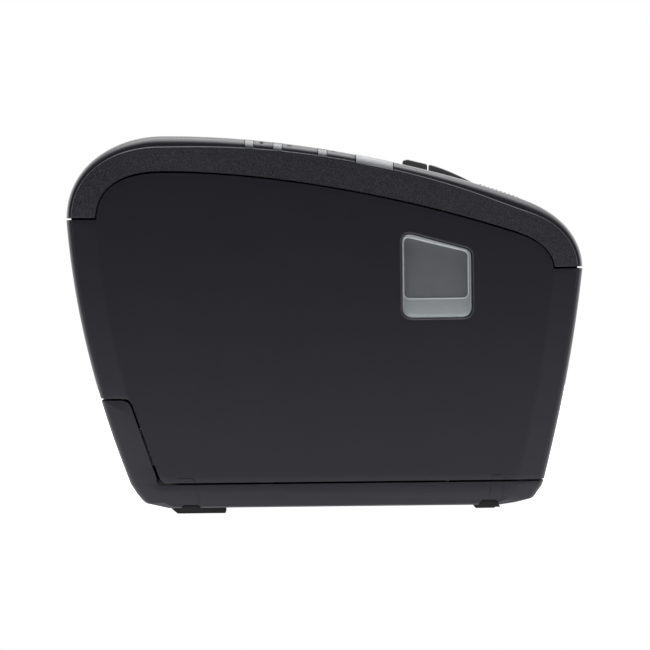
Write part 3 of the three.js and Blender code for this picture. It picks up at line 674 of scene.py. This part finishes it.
def keys():
    x0, x1, y0, y1, z0, _ = node_box("power_button")
    profile = [(x0, z0 + 2.6), (x1, z0), (x1, top_height(x1) + KEY_PROUD),
               (x0 + 1.8, top_height(x0 + 1.8) + KEY_PROUD), (x0, top_height(x0) + KEY_PROUD - 0.8)]
    power = prism_y("power_key_cap", rounded(profile, [0, 0, 0.8, 1.2, 0.6], 4), y0, y1)
    finish_piece(power, (0.45, 3, 50), "power_button", "power_key", "key_plastic")

    x0, x1, y0, y1, z0, _ = node_box("feed_cut_button")
    curve = []
    steps = 14
    for i in range(steps + 1):
        t = i / steps
        x = x0 + t * (x1 - x0)
        curve.append((x, top_height(x) + 0.1 + KEY_PROUD * (1 - t ** 1.7)))
    profile = [(x0, z0 + 3.6), (x1, z0)] + list(reversed(curve))
    feed = prism_y("feed_key_cap", profile, y0, y1)
    finish_piece(feed, (0.45, 3, 50), "feed_cut_button", "feed_key", "key_plastic")


# ------------------------------------------------------------------ side panels
RISER_CORNER = [(-FAR, RISER_Z), (-76.2, RISER_Z), (-74.9, RISER_Z - 0.1), (-73.6, RISER_Z - 0.6),
                (-72.7, RISER_Z - 1.7), (-72, 39.4)]
BASE_CORNER = [(-63.4, 14.4), (-63.2, 13.0), (-62.95, 11.9), (-62.3, 11.3), (-61.2, BASE_SEAM_Z)]
COVER_CORNER = [(-62.1, 13.9), (-61.6, 12.9), (-60.8, 12.2), (-59.4, BASE_SEAM_Z + SEAM)]


def seam_line(up, corner):
    start = [(x + (up if z < RISER_Z - 0.05 else 0), z + (up if z > RISER_Z - 2 else 0))
             for x, z in RISER_CORNER]
    return start + corner + [(FAR, BASE_SEAM_Z + up)]


def arch_line(inwards):
    """The flat face's edge along the top cover, moved into the panel by a distance."""
    points = [flat for _, flat in top_stations()]
    closed = offset(points + [(60, 40), (-60, 40)], inwards)[:len(points)]
    closed[0] = (closed[0][0], REAR_NOTCH_Z - inwards)
    closed[-1] = (closed[-1][0], FRONT_NOTCH_Z - inwards)
    return closed


SIDE_ROWS = 40
FLAT_COLUMNS = 72
# How often the meeting of a column with the seam is refined.
SEAM_PASSES = 4


def wrap_columns():
    """(kind, value, y) of each column across a wrap, from the silhouette to the flat face."""
    columns = [("inset", crown(y), y) for y in (PART_Y + SEAM / 4, 52.0)]
    columns += [("fillet", k, 0.0) for k in range(FILLET_STEPS, -1, -1)]
    columns += [("band", t, 0.0) for t in (0.06, 0.3, 0.6, 0.9, 0.97)]
    return columns


def wrap_point(column, z, tables, sign):
    """(x, y) of one column of a wrap at a height."""
    kind, value, y = column
    silhouette = lookup(tables[0], z)
    width = abs(lookup(tables[1], z) - silhouette)
    crease = min(CREASE_END, 0.6 * width)
    inset = value
    if kind == "fillet":
        inset, y = fillet_profile(crease, SIDE_LEDGE)[value]
    elif kind == "band":
        inset = crease + (width - crease) * value
        y = CREASE_Y + (HALF_WIDTH - CREASE_Y) * value
    return silhouette + sign * inset, y


def side_grid(end, line):
    """Rows from bottom to top of (x, y, z) points across one wrap, silhouette first."""
    tables = edge_tables(end)
    top = (REAR_NOTCH_Z if end == "rear" else FRONT_NOTCH_Z) - SEAM / 2
    sign = 1 if end == "rear" else -1
    grid = [[] for _ in range(SIDE_ROWS + 1)]
    for column in wrap_columns():
        bottom = BASE_SEAM_Z + SEAM
        if end == "rear":
            bottom = RISER_Z + SEAM
            for _ in range(SEAM_PASSES):
                bottom = lookup(line, wrap_point(column, bottom, tables, sign)[0])
        for r in range(SIDE_ROWS + 1):
            z = bottom + (top - bottom) * r / SIDE_ROWS
            grid[r].append((*wrap_point(column, z, tables, sign), z))
    return grid


def side_surface():
    """Grid of the whole side, rear wrap, flat face and front wrap, at positive y."""
    line = seam_line(SEAM, COVER_CORNER)
    rear = side_grid("rear", line)
    front = side_grid("front", line)
    _, rear_flat = edge_tables("rear")
    _, front_flat = edge_tables("front")
    top = resample(arch_line(SEAM / 2), FLAT_COLUMNS + 1)
    foot_z = RISER_Z
    for _ in range(SEAM_PASSES):
        foot_z = lookup(line, lookup(rear_flat, foot_z))
    x_start = lookup(rear_flat, foot_z)
    x_end = lookup(front_flat, BASE_SEAM_Z + SEAM)
    inner = [p for p in line if x_start + 0.3 < p[0] < x_end - 0.3]
    bottom = resample([(x_start, foot_z)] + inner + [(x_end, BASE_SEAM_Z + SEAM)], FLAT_COLUMNS + 1)
    rows = []
    for r in range(SIDE_ROWS + 1):
        v = r / SIDE_ROWS
        zl = bottom[0][1] + (top[0][1] - bottom[0][1]) * v
        zr = bottom[-1][1] + (top[-1][1] - bottom[-1][1]) * v
        left = (lookup(rear_flat, zl), zl)
        right = (lookup(front_flat, zr), zr)
        row = list(rear[r])
        for c in range(FLAT_COLUMNS + 1):
            u = c / FLAT_COLUMNS
            across = mix(left, right, u)
            upright = mix(bottom[c], top[c], v)
            corners = mix(mix(bottom[0], bottom[-1], u), mix(top[0], top[-1], u), v)
            x, z = (a + b - k for a, b, k in zip(across, upright, corners))
            row.append((x, HALF_WIDTH, z))
        row += list(reversed(front[r]))
        rows.append(row)
    return rows


def grid_object(name, rows, side=1):
    count = len(rows[0])
    vertices = [(x, side * y, z) for row in rows for x, y, z in row]
    faces = []
    for r in range(len(rows) - 1):
        for c in range(count - 1):
            a = r * count + c
            faces.append((a, a + 1, a + count + 1, a + count))
    return make_object(name, vertices, faces, repair=False)


def thicken(obj, outward):
    """Gives an open sheet a wall on its inner side. outward tells which way its faces should look."""
    bm = bmesh.new()
    bm.from_mesh(obj.data)
    total = Vector()
    for face in bm.faces:
        total += face.normal * face.calc_area()
    if total.dot(Vector(outward)) < 0:
        bmesh.ops.reverse_faces(bm, faces=bm.faces)
    bm.to_mesh(obj.data)
    bm.free()
    mod = obj.modifiers.new("wall", "SOLIDIFY")
    mod.thickness = WALL * MM
    mod.offset = -1
    mod.use_even_offset = True
    return bake(obj)


WINDOW = rounded([(28.3, 71.75), (54.95, 71.75), (54.95, 97.5), (28.3, 104.8)], [4.4, 4.4, 3.8, 3.8], 8)
TRAY = rounded([(28.7, 72.2), (54.3, 72.2), (54.3, 97.1), (28.7, 104.2)], [4.0, 4.0, 3.4, 3.4], 8)
WINDOW_FLOOR = rounded([(29.0, 79.0), (53.5, 79.0), (53.5, 96.7), (29.0, 102.9)], [2.6] * 4, 8)


# The raised rim round the window: (distance into the opening, y) from its foot over its crown.
RIM = [(-0.45, -58.6), (-0.4, -58.95), (-0.3, -59.1), (-0.1, -59.12), (0.05, -59.0), (0.14, -58.75),
       (0.6, -58.65)]
TRAY_DEPTH = 3.7
TRAY_STEP = 0.55
LATCH_X = (15, 23)


def side_panels():
    rows = side_surface()
    fixed = thicken(grid_object("fixed_side", rows, 1), (0, 1, 0))
    finish_piece(fixed, (0.25, 2, SEAM_ANGLE), "fixed_side_panel", "casing", "panel_plastic", sharp=28)

    cover = thicken(grid_object("cassette_door", rows, -1), (0, -1, 0))
    bake(bevel(cover, 0.25, 2, SEAM_ANGLE))
    bead = loft("window_bead", [[(x, y, z) for x, z in offset(WINDOW, inwards)] for inwards, y in RIM])
    carve(cover, [prism_y("cut", offset(WINDOW, 0.08), -FAR, -50)])
    carve(bead, [prism_y("cut", offset(WINDOW, 0.3), -FAR, -50)])
    place(smooth(bead, 40), None, "cover", "panel_plastic", material=MATERIALS["rim_satin"])
    latch = block("latch_hook", *LATCH_X, -57, -52.8, 106, 108.6)
    carve(latch, [block("cut", *LATCH_X, -54.2, -52.8, 108, 111.6)], "UNION")
    finish_piece(latch, (0.25, 2, 40), None, "cover", "panel_plastic")
    place(smooth(cover, 28), "cassette_cover", "cover", "panel_plastic")


def cover_window():
    """Recessed tray: rounded lip, frosted sloping walls, a step painted near white as a highlight, and a
    smoked floor.
    """
    lip = offset(TRAY, 0.45)
    front = -HALF_WIDTH
    brink = TRAY_DEPTH - TRAY_STEP
    rings = [(WINDOW_FLOOR, front + 4.4), (TRAY, front + 3.0), (TRAY, front + 0.5),
             (offset(TRAY, 0.12), front + 0.3), (offset(TRAY, 0.35), front + 0.3), (lip, front + 0.5)]
    for share, depth in ((0.2, 0.25), (0.5, 0.55), (0.8, 0.85), (0.94, 0.96), (1.0, 1.0)):
        ring = [mix(a, b, share) for a, b in zip(lip, WINDOW_FLOOR)]
        rings.append((ring, front + 0.5 + (brink - 0.5) * depth))
    for inwards, depth in ((0.4, brink + 0.08), (0.5, TRAY_DEPTH), (0.9, TRAY_DEPTH + 0.05)):
        rings.append((offset(WINDOW_FLOOR, inwards), front + depth))
    tray = loft("window_tray", [[(x, y, z) for x, z in ring] for ring, y in rings])
    place(smooth(tray, 40), "cover_window", "cover", "smoke_window", material=MATERIALS["frosted_wall"])
    tray.data.materials.append(MATERIALS["smoke_window"])
    tray.data.materials.append(MATERIALS["step_painted_highlight"])
    floor_y = (front + TRAY_DEPTH - 0.1) * MM
    step_y = (front + brink - 0.01) * MM
    for polygon in tray.data.polygons:
        ys = [tray.data.vertices[v].co.y for v in polygon.vertices]
        if min(ys) > floor_y:
            polygon.material_index = 1
        # The step's faces down to the floor take the near-white painted highlight colour.
        elif min(ys) > step_y and polygon.normal.y < 0.9 and max(ys) < (front + TRAY_DEPTH + 0.1) * MM:
            polygon.material_index = 2


# ------------------------------------------------------------------ front and rear covers
def end_cover(name, end, z0, z1, columns=28, rows=36):
    outer_table, _ = edge_tables(end)
    inward = 1 if end == "front" else -1
    clear = PART_Y - SEAM / 4
    grid = []
    for r in range(rows + 1):
        z = z0 + (z1 - z0) * r / rows
        x = lookup(outer_table, z)
        places = [-clear + 2 * clear * c / columns for c in range(columns + 1)]
        grid.append([(x - inward * crown(y), y, z) for y in places])
    return thicken(grid_object(name, grid), (inward, 0, 0))


EXIT_SLOT = (-47, -7, 52, 59)
VENT_COUNT = 8
VENT_PITCH = 5
VENT_BOTTOM = 58
VENT_HALF = 30


def front_and_rear():
    low = BASE_SEAM_Z + SEAM
    front = end_cover("front_bezel_shell", "front", low, FRONT_NOTCH_Z - SEAM / 2)
    slot = rectangle(*EXIT_SLOT, 1.2)
    carve(front, [prism_x("cut", slot, 60, FAR)])
    finish_piece(front, (0.3, 2, 45), "front_bezel", "casing", "panel_plastic")

    rear = end_cover("rear_cover_shell", "rear", RISER_Z + SEAM, REAR_NOTCH_Z - SEAM / 2)
    vents = []
    for i in range(VENT_COUNT):
        z = VENT_BOTTOM + i * VENT_PITCH
        vents.append(prism_x("cut", rectangle(-VENT_HALF, VENT_HALF, z, z + 2, 0.95), -FAR, -60))
    carve(rear, vents)
    finish_piece(rear, (0.25, 2, 45), "rear_cover", "casing", "panel_plastic")


# ------------------------------------------------------------------ base
def envelope(distance):
    """The whole outer form as one solid, or the same moved inwards by a distance."""
    pairs = []
    for name, steps in (("rear", 20), ("rear_top", 6), ("top", 6), ("front_top", 6), ("front", 20)):
        pairs += stretch(name, steps)
    corners = BASE_INNER if distance else range(len(BASE_OUTER))
    pairs += [(BASE_OUTER[i], BASE_FLAT[i]) for i in corners]
    sections = [(HALF_WIDTH, None)] + [(None, k) for k in range(FILLET_STEPS + 1)]
    half = []
    for y, k in sections:
        ring = []
        for outer, flat in pairs:
            width = hypot(outer[0] - flat[0], outer[1] - flat[1])
            if k is None:
                inset = width
            else:
                inset, y = fillet_profile(crease_width(outer, flat), SIDE_LEDGE)[k]
            ring.append(mix(outer, flat, inset / width))
        half.append((y - distance, offset(ring, distance) if distance else ring))
    rings = [[(x, -y, z) for x, z in ring] for y, ring in half]
    rings += [[(x, y, z) for x, z in ring] for y, ring in reversed(half)]
    return loft("cut", rings)


FEET = [(end, side) for end in ("rear", "front") for side in ("left", "right")]
# Height at which a foot's ends begin to slope inwards.
FOOT_KNEE = 1.8
# The feet reach a little past their solids, backwards at the rear and forwards at the front.
FOOT_REACH = {"rear": (0.9, 0.0), "front": (0.0, 1.4)}
# Each foot ends in a low tab that shows in a scallop of the skirt: (x0, x1, top) of the scallop.
SCALLOPS = {"rear": (-54.8, -46.2, 3.8), "front": (55.6, 64.2, 4.5)}
SCALLOP_SLOPE = 1.5
SCALLOP_DEPTH = 1.4
# The tab's two faces, inwards from the side.
TAB_FACES = (1.1, 0.25)


def scallop(end, gap):
    """Outline of a foot's scallop, or of its tab with a gap all round."""
    x0, x1, top = SCALLOPS[end]
    corners = [(x0 + gap, FOOT_KNEE), (x1 - gap, FOOT_KNEE), (x1 - SCALLOP_SLOPE - gap, top - gap),
               (x0 + SCALLOP_SLOPE + gap, top - gap)]
    return rounded(corners, [0, 0, 0.9, 0.9], 5)


def foot_box(end, side):
    x0, x1, y0, y1, z0, z1 = node_box(f"foot_{end}_{side}")
    back, ahead = FOOT_REACH[end]
    return x0 - back, x1 + ahead, y0, y1, z0, z1


SCREWS = (1, 2, 3, 4)


def base():
    region = seam_line(0, BASE_CORNER) + [(FAR, -5), (-FAR, -5)]
    body = envelope(0)
    body.name = "base_tray"
    carve(body, [prism_y("cut", region, -FAR, FAR)], "INTERSECT")
    carve(body, [envelope(WALL)])
    tools = []
    for end, side in FEET:
        x0, x1, y0, y1, _, z1 = foot_box(end, side)
        tools.append(block("cut", x0 - FIT, x1 + FIT, y0 - FIT, y1 + FIT, 0, z1 + FIT))
    for end in SCALLOPS:
        for y in (-FAR, HALF_WIDTH - SCALLOP_DEPTH):
            tools.append(prism_y("cut", scallop(end, 0), y, y + FAR - HALF_WIDTH + SCALLOP_DEPTH))
    for node in ("network_socket", "usb_socket", "power_inlet"):
        x0, x1, y0, y1, z0, z1 = node_box(node)
        outline = rectangle(y0 - FIT, y1 + FIT, z0 - FIT, z1 + FIT, 0.8)
        tools.append(prism_x("cut", outline, -FAR, x0 + 6))
    for k in SCREWS:
        x0, x1, y0, y1, _, _ = node_box(f"base_screw_{k}")
        x, y = (x0 + x1) / 2, (y0 + y1) / 2
        tools.append(prism_z("cut", circle(x, y, 3.4, 32), -1, 6))
    carve(body, tools)
    finish_piece(body, (0.22, 2, SEAM_ANGLE), "base", "casing", "base_plastic", sharp=30)


# Faint raised lines over the hidden hinge lugs, from above the seam down the skirt.
LUG_LINES = {
    "rear": [(-55.6, 13.3), (-50.4, 13.4), (-49.5, 13.1), (-49.1, 12.4), (-48.6, 8.4), (-47.4, 4.6)],
    "front_a": [(60.0, 5.0), (60.9, 8.4), (61.2, 12.6), (61.8, 13.5), (64.9, 13.5)],
    "front_b": [(66.0, 12.9), (65.9, 8.6), (65.2, 5.0)],
}
LUG_LINE_WIDTH = 0.75
LUG_LINE_PROUD = 0.12
LUG_LINE_CLEAR = 0.2


def ribbon(path, width):
    """Outline of a band of even width along an open path."""
    sides = ([], [])
    for i, p in enumerate(path):
        before = Vector(path[max(i - 1, 0)])
        after = Vector(path[min(i + 1, len(path) - 1)])
        along = (after - before).normalized()
        across = Vector((-along.y, along.x)) * width / 2
        sides[0].append(tuple(Vector(p) + across))
        sides[1].append(tuple(Vector(p) - across))
    return sides[0] + sides[1][::-1]


def lug_reliefs():
    parts = (("casing", "base_plastic", 0, BASE_SEAM_Z - LUG_LINE_CLEAR),
             ("cover", "panel_plastic", BASE_SEAM_Z + SEAM + LUG_LINE_CLEAR, 20))
    for name, path in LUG_LINES.items():
        for body, slot, low, high in parts:
            line = prism_y(f"lug_line_{body}_{name}", ribbon(path, LUG_LINE_WIDTH),
                           -HALF_WIDTH - LUG_LINE_PROUD, 0.3 - HALF_WIDTH)
            carve(line, [block("cut", -80, 80, -60, -50, low, high)], "INTERSECT")
            finish_piece(line, (0.07, 2, 40), None, body, slot)


def feet():
    for end, side in FEET:
        x0, x1, y0, y1, z0, z1 = foot_box(end, side)
        slopes = (2.2, 0.0) if end == "rear" else (1.5, 1.5)
        outline = [(x0, z1), (x0, FOOT_KNEE), (x0 + slopes[0], z0), (x1 - slopes[1], z0),
                   (x1, FOOT_KNEE), (x1, z1)]
        radii = [0, 0.8, 0.5, 0.3, 0.3, 0]
        foot = prism_y(f"foot_pad_{end}_{side}", rounded(outline, radii, 4), y0, y1)
        finish_piece(foot, (0.3, 2, 50), f"foot_{end}_{side}", "casing", "rubber")
        sign = 1 if y0 > 0 else -1
        tab_ys = sorted(sign * (HALF_WIDTH - depth) for depth in TAB_FACES)
        tab = prism_y(f"foot_tab_{end}_{side}", scallop(end, 0.08), *tab_ys)
        finish_piece(tab, (0.1, 2, 40), None, "casing", "rubber")


# ------------------------------------------------------------------ sockets and screws
CONTACT_PITCH = 1.02


def sockets():
    x0, _, y0, y1, z0, z1 = node_box("network_socket")
    middle = (y0 + y1) / 2
    for i in range(8):
        y = middle + (i - 3.5) * CONTACT_PITCH
        outline = [(x0 + 1.2, z1 - 3.4), (x0 + 11, z1 - 7.2), (x0 + 11.2, z1 - 6.9), (x0 + 1.4, z1 - 3.1)]
        wire = prism_y("network_contact", outline, y - 0.22, y + 0.22)
        place(smooth(wire), None, "casing", "brass")
    x0, _, y0, y1, z0, z1 = node_box("usb_socket")
    y, z = (y0 + y1) / 2, (z0 + z1) / 2
    tongue = prism_x("usb_tongue", rectangle(y - 2.7, y + 2.7, z - 1.4, z + 1.4, 0.5), x0 + 1.6, x0 + 12.3)
    finish_piece(tongue, (0.2, 2, 40), None, "casing", "inner_plastic")
    for side in (-1, 1):
        for dz in (-1.55, 1.55):
            py, pz = y + side * 1.3, z + dz
            pad = block("usb_contact", x0 + 2.4, x0 + 11, py - 0.5, py + 0.5, pz - 0.12, pz + 0.12)
            place(smooth(pad), None, "casing", "brass")


def base_screws():
    """Pan heads with a crossed recess."""
    for k in SCREWS:
        x0, x1, y0, y1, z0, z1 = node_box(f"base_screw_{k}")
        x, y = (x0 + x1) / 2, (y0 + y1) / 2
        profile = [(0.0, z0), (2.0, z0), (2.7, z0 + 0.25), (3.0, z0 + 0.8), (3.0, z0 + 2.0),
                   (1.5, z0 + 2.0), (1.5, z1 - 0.5), (1.1, z1), (0.0, z1)]
        rings = [[(a, b, z) for a, b in circle(x, y, max(r, 0.02), 32)] for r, z in profile]
        screw = loft(f"cross_screw_{k}", rings)
        turn = radians(20 + 35 * k)
        tools = []
        for quarter in (0, pi / 2):
            tool = block("cut", -1.7, 1.7, -0.32, 0.32, -1.1, 1.1)
            tool.data.transform(Matrix.Translation(Vector((x, y, z0)) * MM)
                                @ Matrix.Rotation(turn + quarter, 4, "Z"))
            tools.append(tool)
        carve(screw, tools)
        place(smooth(screw), f"base_screw_{k}", "casing", "steel")


# ------------------------------------------------------------------ inside the cover
ROLL = (-14.0, 63.0)
TAKEUP = (28.0, 46.0)
SUPPLY = (31.0, 73.0)
# Holes in the case over the three spools: (centre, radius).
SPOOL_HOLES = ((ROLL, 8.2), (TAKEUP, 5.6), (SUPPLY, 3.6))
CASE = [(-46, 30), (46, 30), (49, 34), (49, 84), (40, 92), (-40, 98), (-46, 92)]


def arc_slot(centre, r0, r1, start, end, steps=24):
    """Outline of a curved slot between two radii and two angles in degrees."""
    angles = [radians(start + (end - start) * i / steps) for i in range(steps + 1)]
    outer = [(centre[0] + r1 * cos(a), centre[1] + r1 * sin(a)) for a in angles]
    inner = [(centre[0] + r0 * cos(a), centre[1] + r0 * sin(a)) for a in reversed(angles)]
    return outer + inner


def cassette():
    """Tape cassette: hollow case with spool holes, a curved sight slot, rivets and a blank sticker."""
    _, _, y0, y1, _, _ = node_box("cassette_case")
    face = y0 + 0.5
    outline = rounded(CASE, [2.5, 1.5, 1.5, 2, 3, 3, 2], 5)
    case = prism_y("cassette_shell", outline, face, y1)
    tools = [prism_y("cut", offset(outline, 1.6), face + 1.6, y1 - 1.6),
             prism_y("cut", circle(*ROLL, 8.2, 48), y0 - 2, face + 3),
             prism_y("cut", circle(*TAKEUP, 5.6, 40), y0 - 2, face + 3),
             prism_y("cut", circle(*SUPPLY, 3.6, 32), y0 - 2, face + 3),
             prism_y("cut", circle(*TAKEUP, 5.0, 32), y1 - 3, y1 + 3),
             prism_y("cut", arc_slot(ROLL, 15, 22, 150, 255), y0 - 2, face + 3),
             block("cut", 45, 52, face + 1.6, y1 - 1.6, 51.5, 58)]
    carve(case, tools)
    rims = []
    for centre, radius in SPOOL_HOLES:
        rim = prism_y("rim", circle(*centre, radius + 1.4, 48), face - 0.35, face + 0.5)
        rims.append(carve(rim, [prism_y("cut", circle(*centre, radius, 48), y0 - 2, face + 3)]))
    for x, z in ((-41.5, 34.5), (41.5, 34.5), (43.5, 83), (-41, 91.5)):
        rims.append(prism_y("rivet", circle(x, z, 1.7, 24), face - 0.4, face + 0.5))
    for i in range(5):
        z = 56 + i * 3.2
        rims.append(prism_y("grip", rectangle(42.6, 47.4, z - 0.5, z + 0.5, 0.4), face - 0.4, face + 0.5))
    carve(case, rims, "UNION")
    finish_piece(case, (0.3, 2, 40), "cassette_case", "casing", "cassette_plastic")
    outline = rounded([(-35, 91.6), (35, 86.2), (35, 90.4), (-35, 95.7)], [0.8] * 4)
    sticker = prism_y("cassette_sticker", outline, face - 0.12, face + 0.1)
    place(smooth(sticker), None, "casing", "label_tape")


def door_ribs():
    """Stiffening ribs on the inner face of the cover."""
    y0, y1 = -HALF_WIDTH + WALL - 0.15, -55.3
    lines = [(-62, 68, 31, 32.2), (-70, 20, 61, 62.2), (62, 76, 61, 62.2), (-74, 6, 99, 100.2),
             (-60, -58.8, 20, 118), (-26, -24.8, 20, 121), (5, 6.2, 20, 117), (62, 63.2, 20, 96)]
    bars = [block("door_ribs", x0, x1, y0, y1, z0, z1) for x0, x1, z0, z1 in lines]
    carve(bars[0], bars[1:], "UNION")
    bake(bevel(bars[0], 0.3, 2, 40))
    place(smooth(bars[0]), None, "cover", "panel_plastic")


# ------------------------------------------------------------------ carried-over nodes
def dress_nodes():
    """Every CAD node that still shows gets its material and softened edges."""
    slots = {row["node"]: row["material_slot"] for row in frame["record"]["subparts"]}
    for name, obj in frame["nodes"].items():
        obj.data.materials.clear()
        obj.data.materials.append(MATERIALS[slots[name]])
        bevel(obj, 0.15, 2, 50)


# ------------------------------------------------------------------ room, light and camera
CAMERA_DISTANCE = 1500.0
CAMERA_HEIGHT = 100.3
AIM = (-0.1, 0.0, 68.7)
CAMERA_ROLL = radians(0.65)
LENS = 215.6


def camera():
    data = bpy.data.cameras.new("camera")
    data.lens = LENS
    data.sensor_width = 36.0
    data.clip_start = 0.05
    data.clip_end = 50.0
    obj = bpy.data.objects.new("camera", data)
    bpy.context.scene.collection.objects.link(obj)
    eye = Vector((AIM[0], -CAMERA_DISTANCE, CAMERA_HEIGHT)) * MM
    look = (Vector(AIM) * MM - eye).to_track_quat("-Z", "Y").to_matrix().to_4x4()
    obj.matrix_world = Matrix.Translation(eye) @ look @ Matrix.Rotation(-CAMERA_ROLL, 4, "Z")
    bpy.context.scene.camera = obj


# The world's strength in front, behind and overhead, and where each blends into the next.
WORLD_FRONT = 0.02
WORLD_BACK = 2.2
WORLD_ABOVE = 5.5
WORLD_CAP_EDGE = 0.79
WORLD_CAP_FULL = 0.97
WORLD_FRONT_EDGE = -0.22
WORLD_BACK_EDGE = 0.32


def soft_step(nodes, links, value, edges, levels):
    """Blends from one level to another as a value passes between two edges."""
    node = nodes.new("ShaderNodeMapRange")
    node.interpolation_type = "SMOOTHSTEP"
    for name, number in zip(("From Min", "From Max", "To Min", "To Max"), (*edges, *levels)):
        node.inputs[name].default_value = number
    links.new(value, node.inputs["Value"])
    return node.outputs["Result"]


def studio_world():
    """Pure white behind the object; its light comes from behind and above, and little from in front."""
    world = bpy.data.worlds.new("studio")
    world.use_nodes = True
    bpy.context.scene.world = world
    nodes = world.node_tree.nodes
    links = world.node_tree.links
    direction = nodes.new("ShaderNodeTexCoord")
    parts = nodes.new("ShaderNodeSeparateXYZ")
    links.new(direction.outputs["Generated"], parts.inputs["Vector"])
    behind = soft_step(nodes, links, parts.outputs["Y"], (WORLD_FRONT_EDGE, WORLD_BACK_EDGE),
                       (WORLD_FRONT, WORLD_BACK))
    above = soft_step(nodes, links, parts.outputs["Z"], (WORLD_CAP_EDGE, WORLD_CAP_FULL),
                      (0.0, WORLD_ABOVE))
    total = nodes.new("ShaderNodeMath")
    links.new(behind, total.inputs[0])
    links.new(above, total.inputs[1])
    back = nodes["Background"]
    links.new(total.outputs["Value"], back.inputs["Strength"])
    back.inputs["Color"].default_value = (1, 1, 1, 1)
    white = nodes.new("ShaderNodeBackground")
    white.inputs["Color"].default_value = (1, 1, 1, 1)
    white.inputs["Strength"].default_value = 1.0
    path = nodes.new("ShaderNodeLightPath")
    pick = nodes.new("ShaderNodeMixShader")
    links.new(path.outputs["Is Camera Ray"], pick.inputs["Fac"])
    links.new(back.outputs["Background"], pick.inputs[1])
    links.new(white.outputs["Background"], pick.inputs[2])
    links.new(pick.outputs["Shader"], nodes["World Output"].inputs["Surface"])


# The floor, in metres: it ends just in front of the object.
FLOOR_HALF = 0.7
FLOOR_FRONT = -0.27
FLOOR_BACK = 1.2


def room():
    corners = [(-FLOOR_HALF, FLOOR_FRONT), (FLOOR_HALF, FLOOR_FRONT), (FLOOR_HALF, FLOOR_BACK),
               (-FLOOR_HALF, FLOOR_BACK)]
    floor = make_object("floor", [(x / MM, y / MM, -0.2) for x, y in corners], [(0, 1, 2, 3)])
    material, _, _, shader = new_material("floor_pale")
    shader.inputs["Base Color"].default_value = (0.35, 0.35, 0.35, 1)
    shader.inputs["Roughness"].default_value = 0.9
    shader.inputs["Emission Color"].default_value = (1, 1, 1, 1)
    shader.inputs["Emission Strength"].default_value = 1.0
    floor.data.materials.append(material)
    studio_world()
    bpy.context.scene.view_settings.view_transform = "Standard"


# ------------------------------------------------------------------ the build
camera()
room()
dress_nodes()
top_cover()
top_trim()
release_button()
lamp_lenses()
printed_marks()
keys()
side_panels()
cover_window()
front_and_rear()
base()
feet()
lug_reliefs()
sockets()
base_screws()
cassette()
door_ribs()
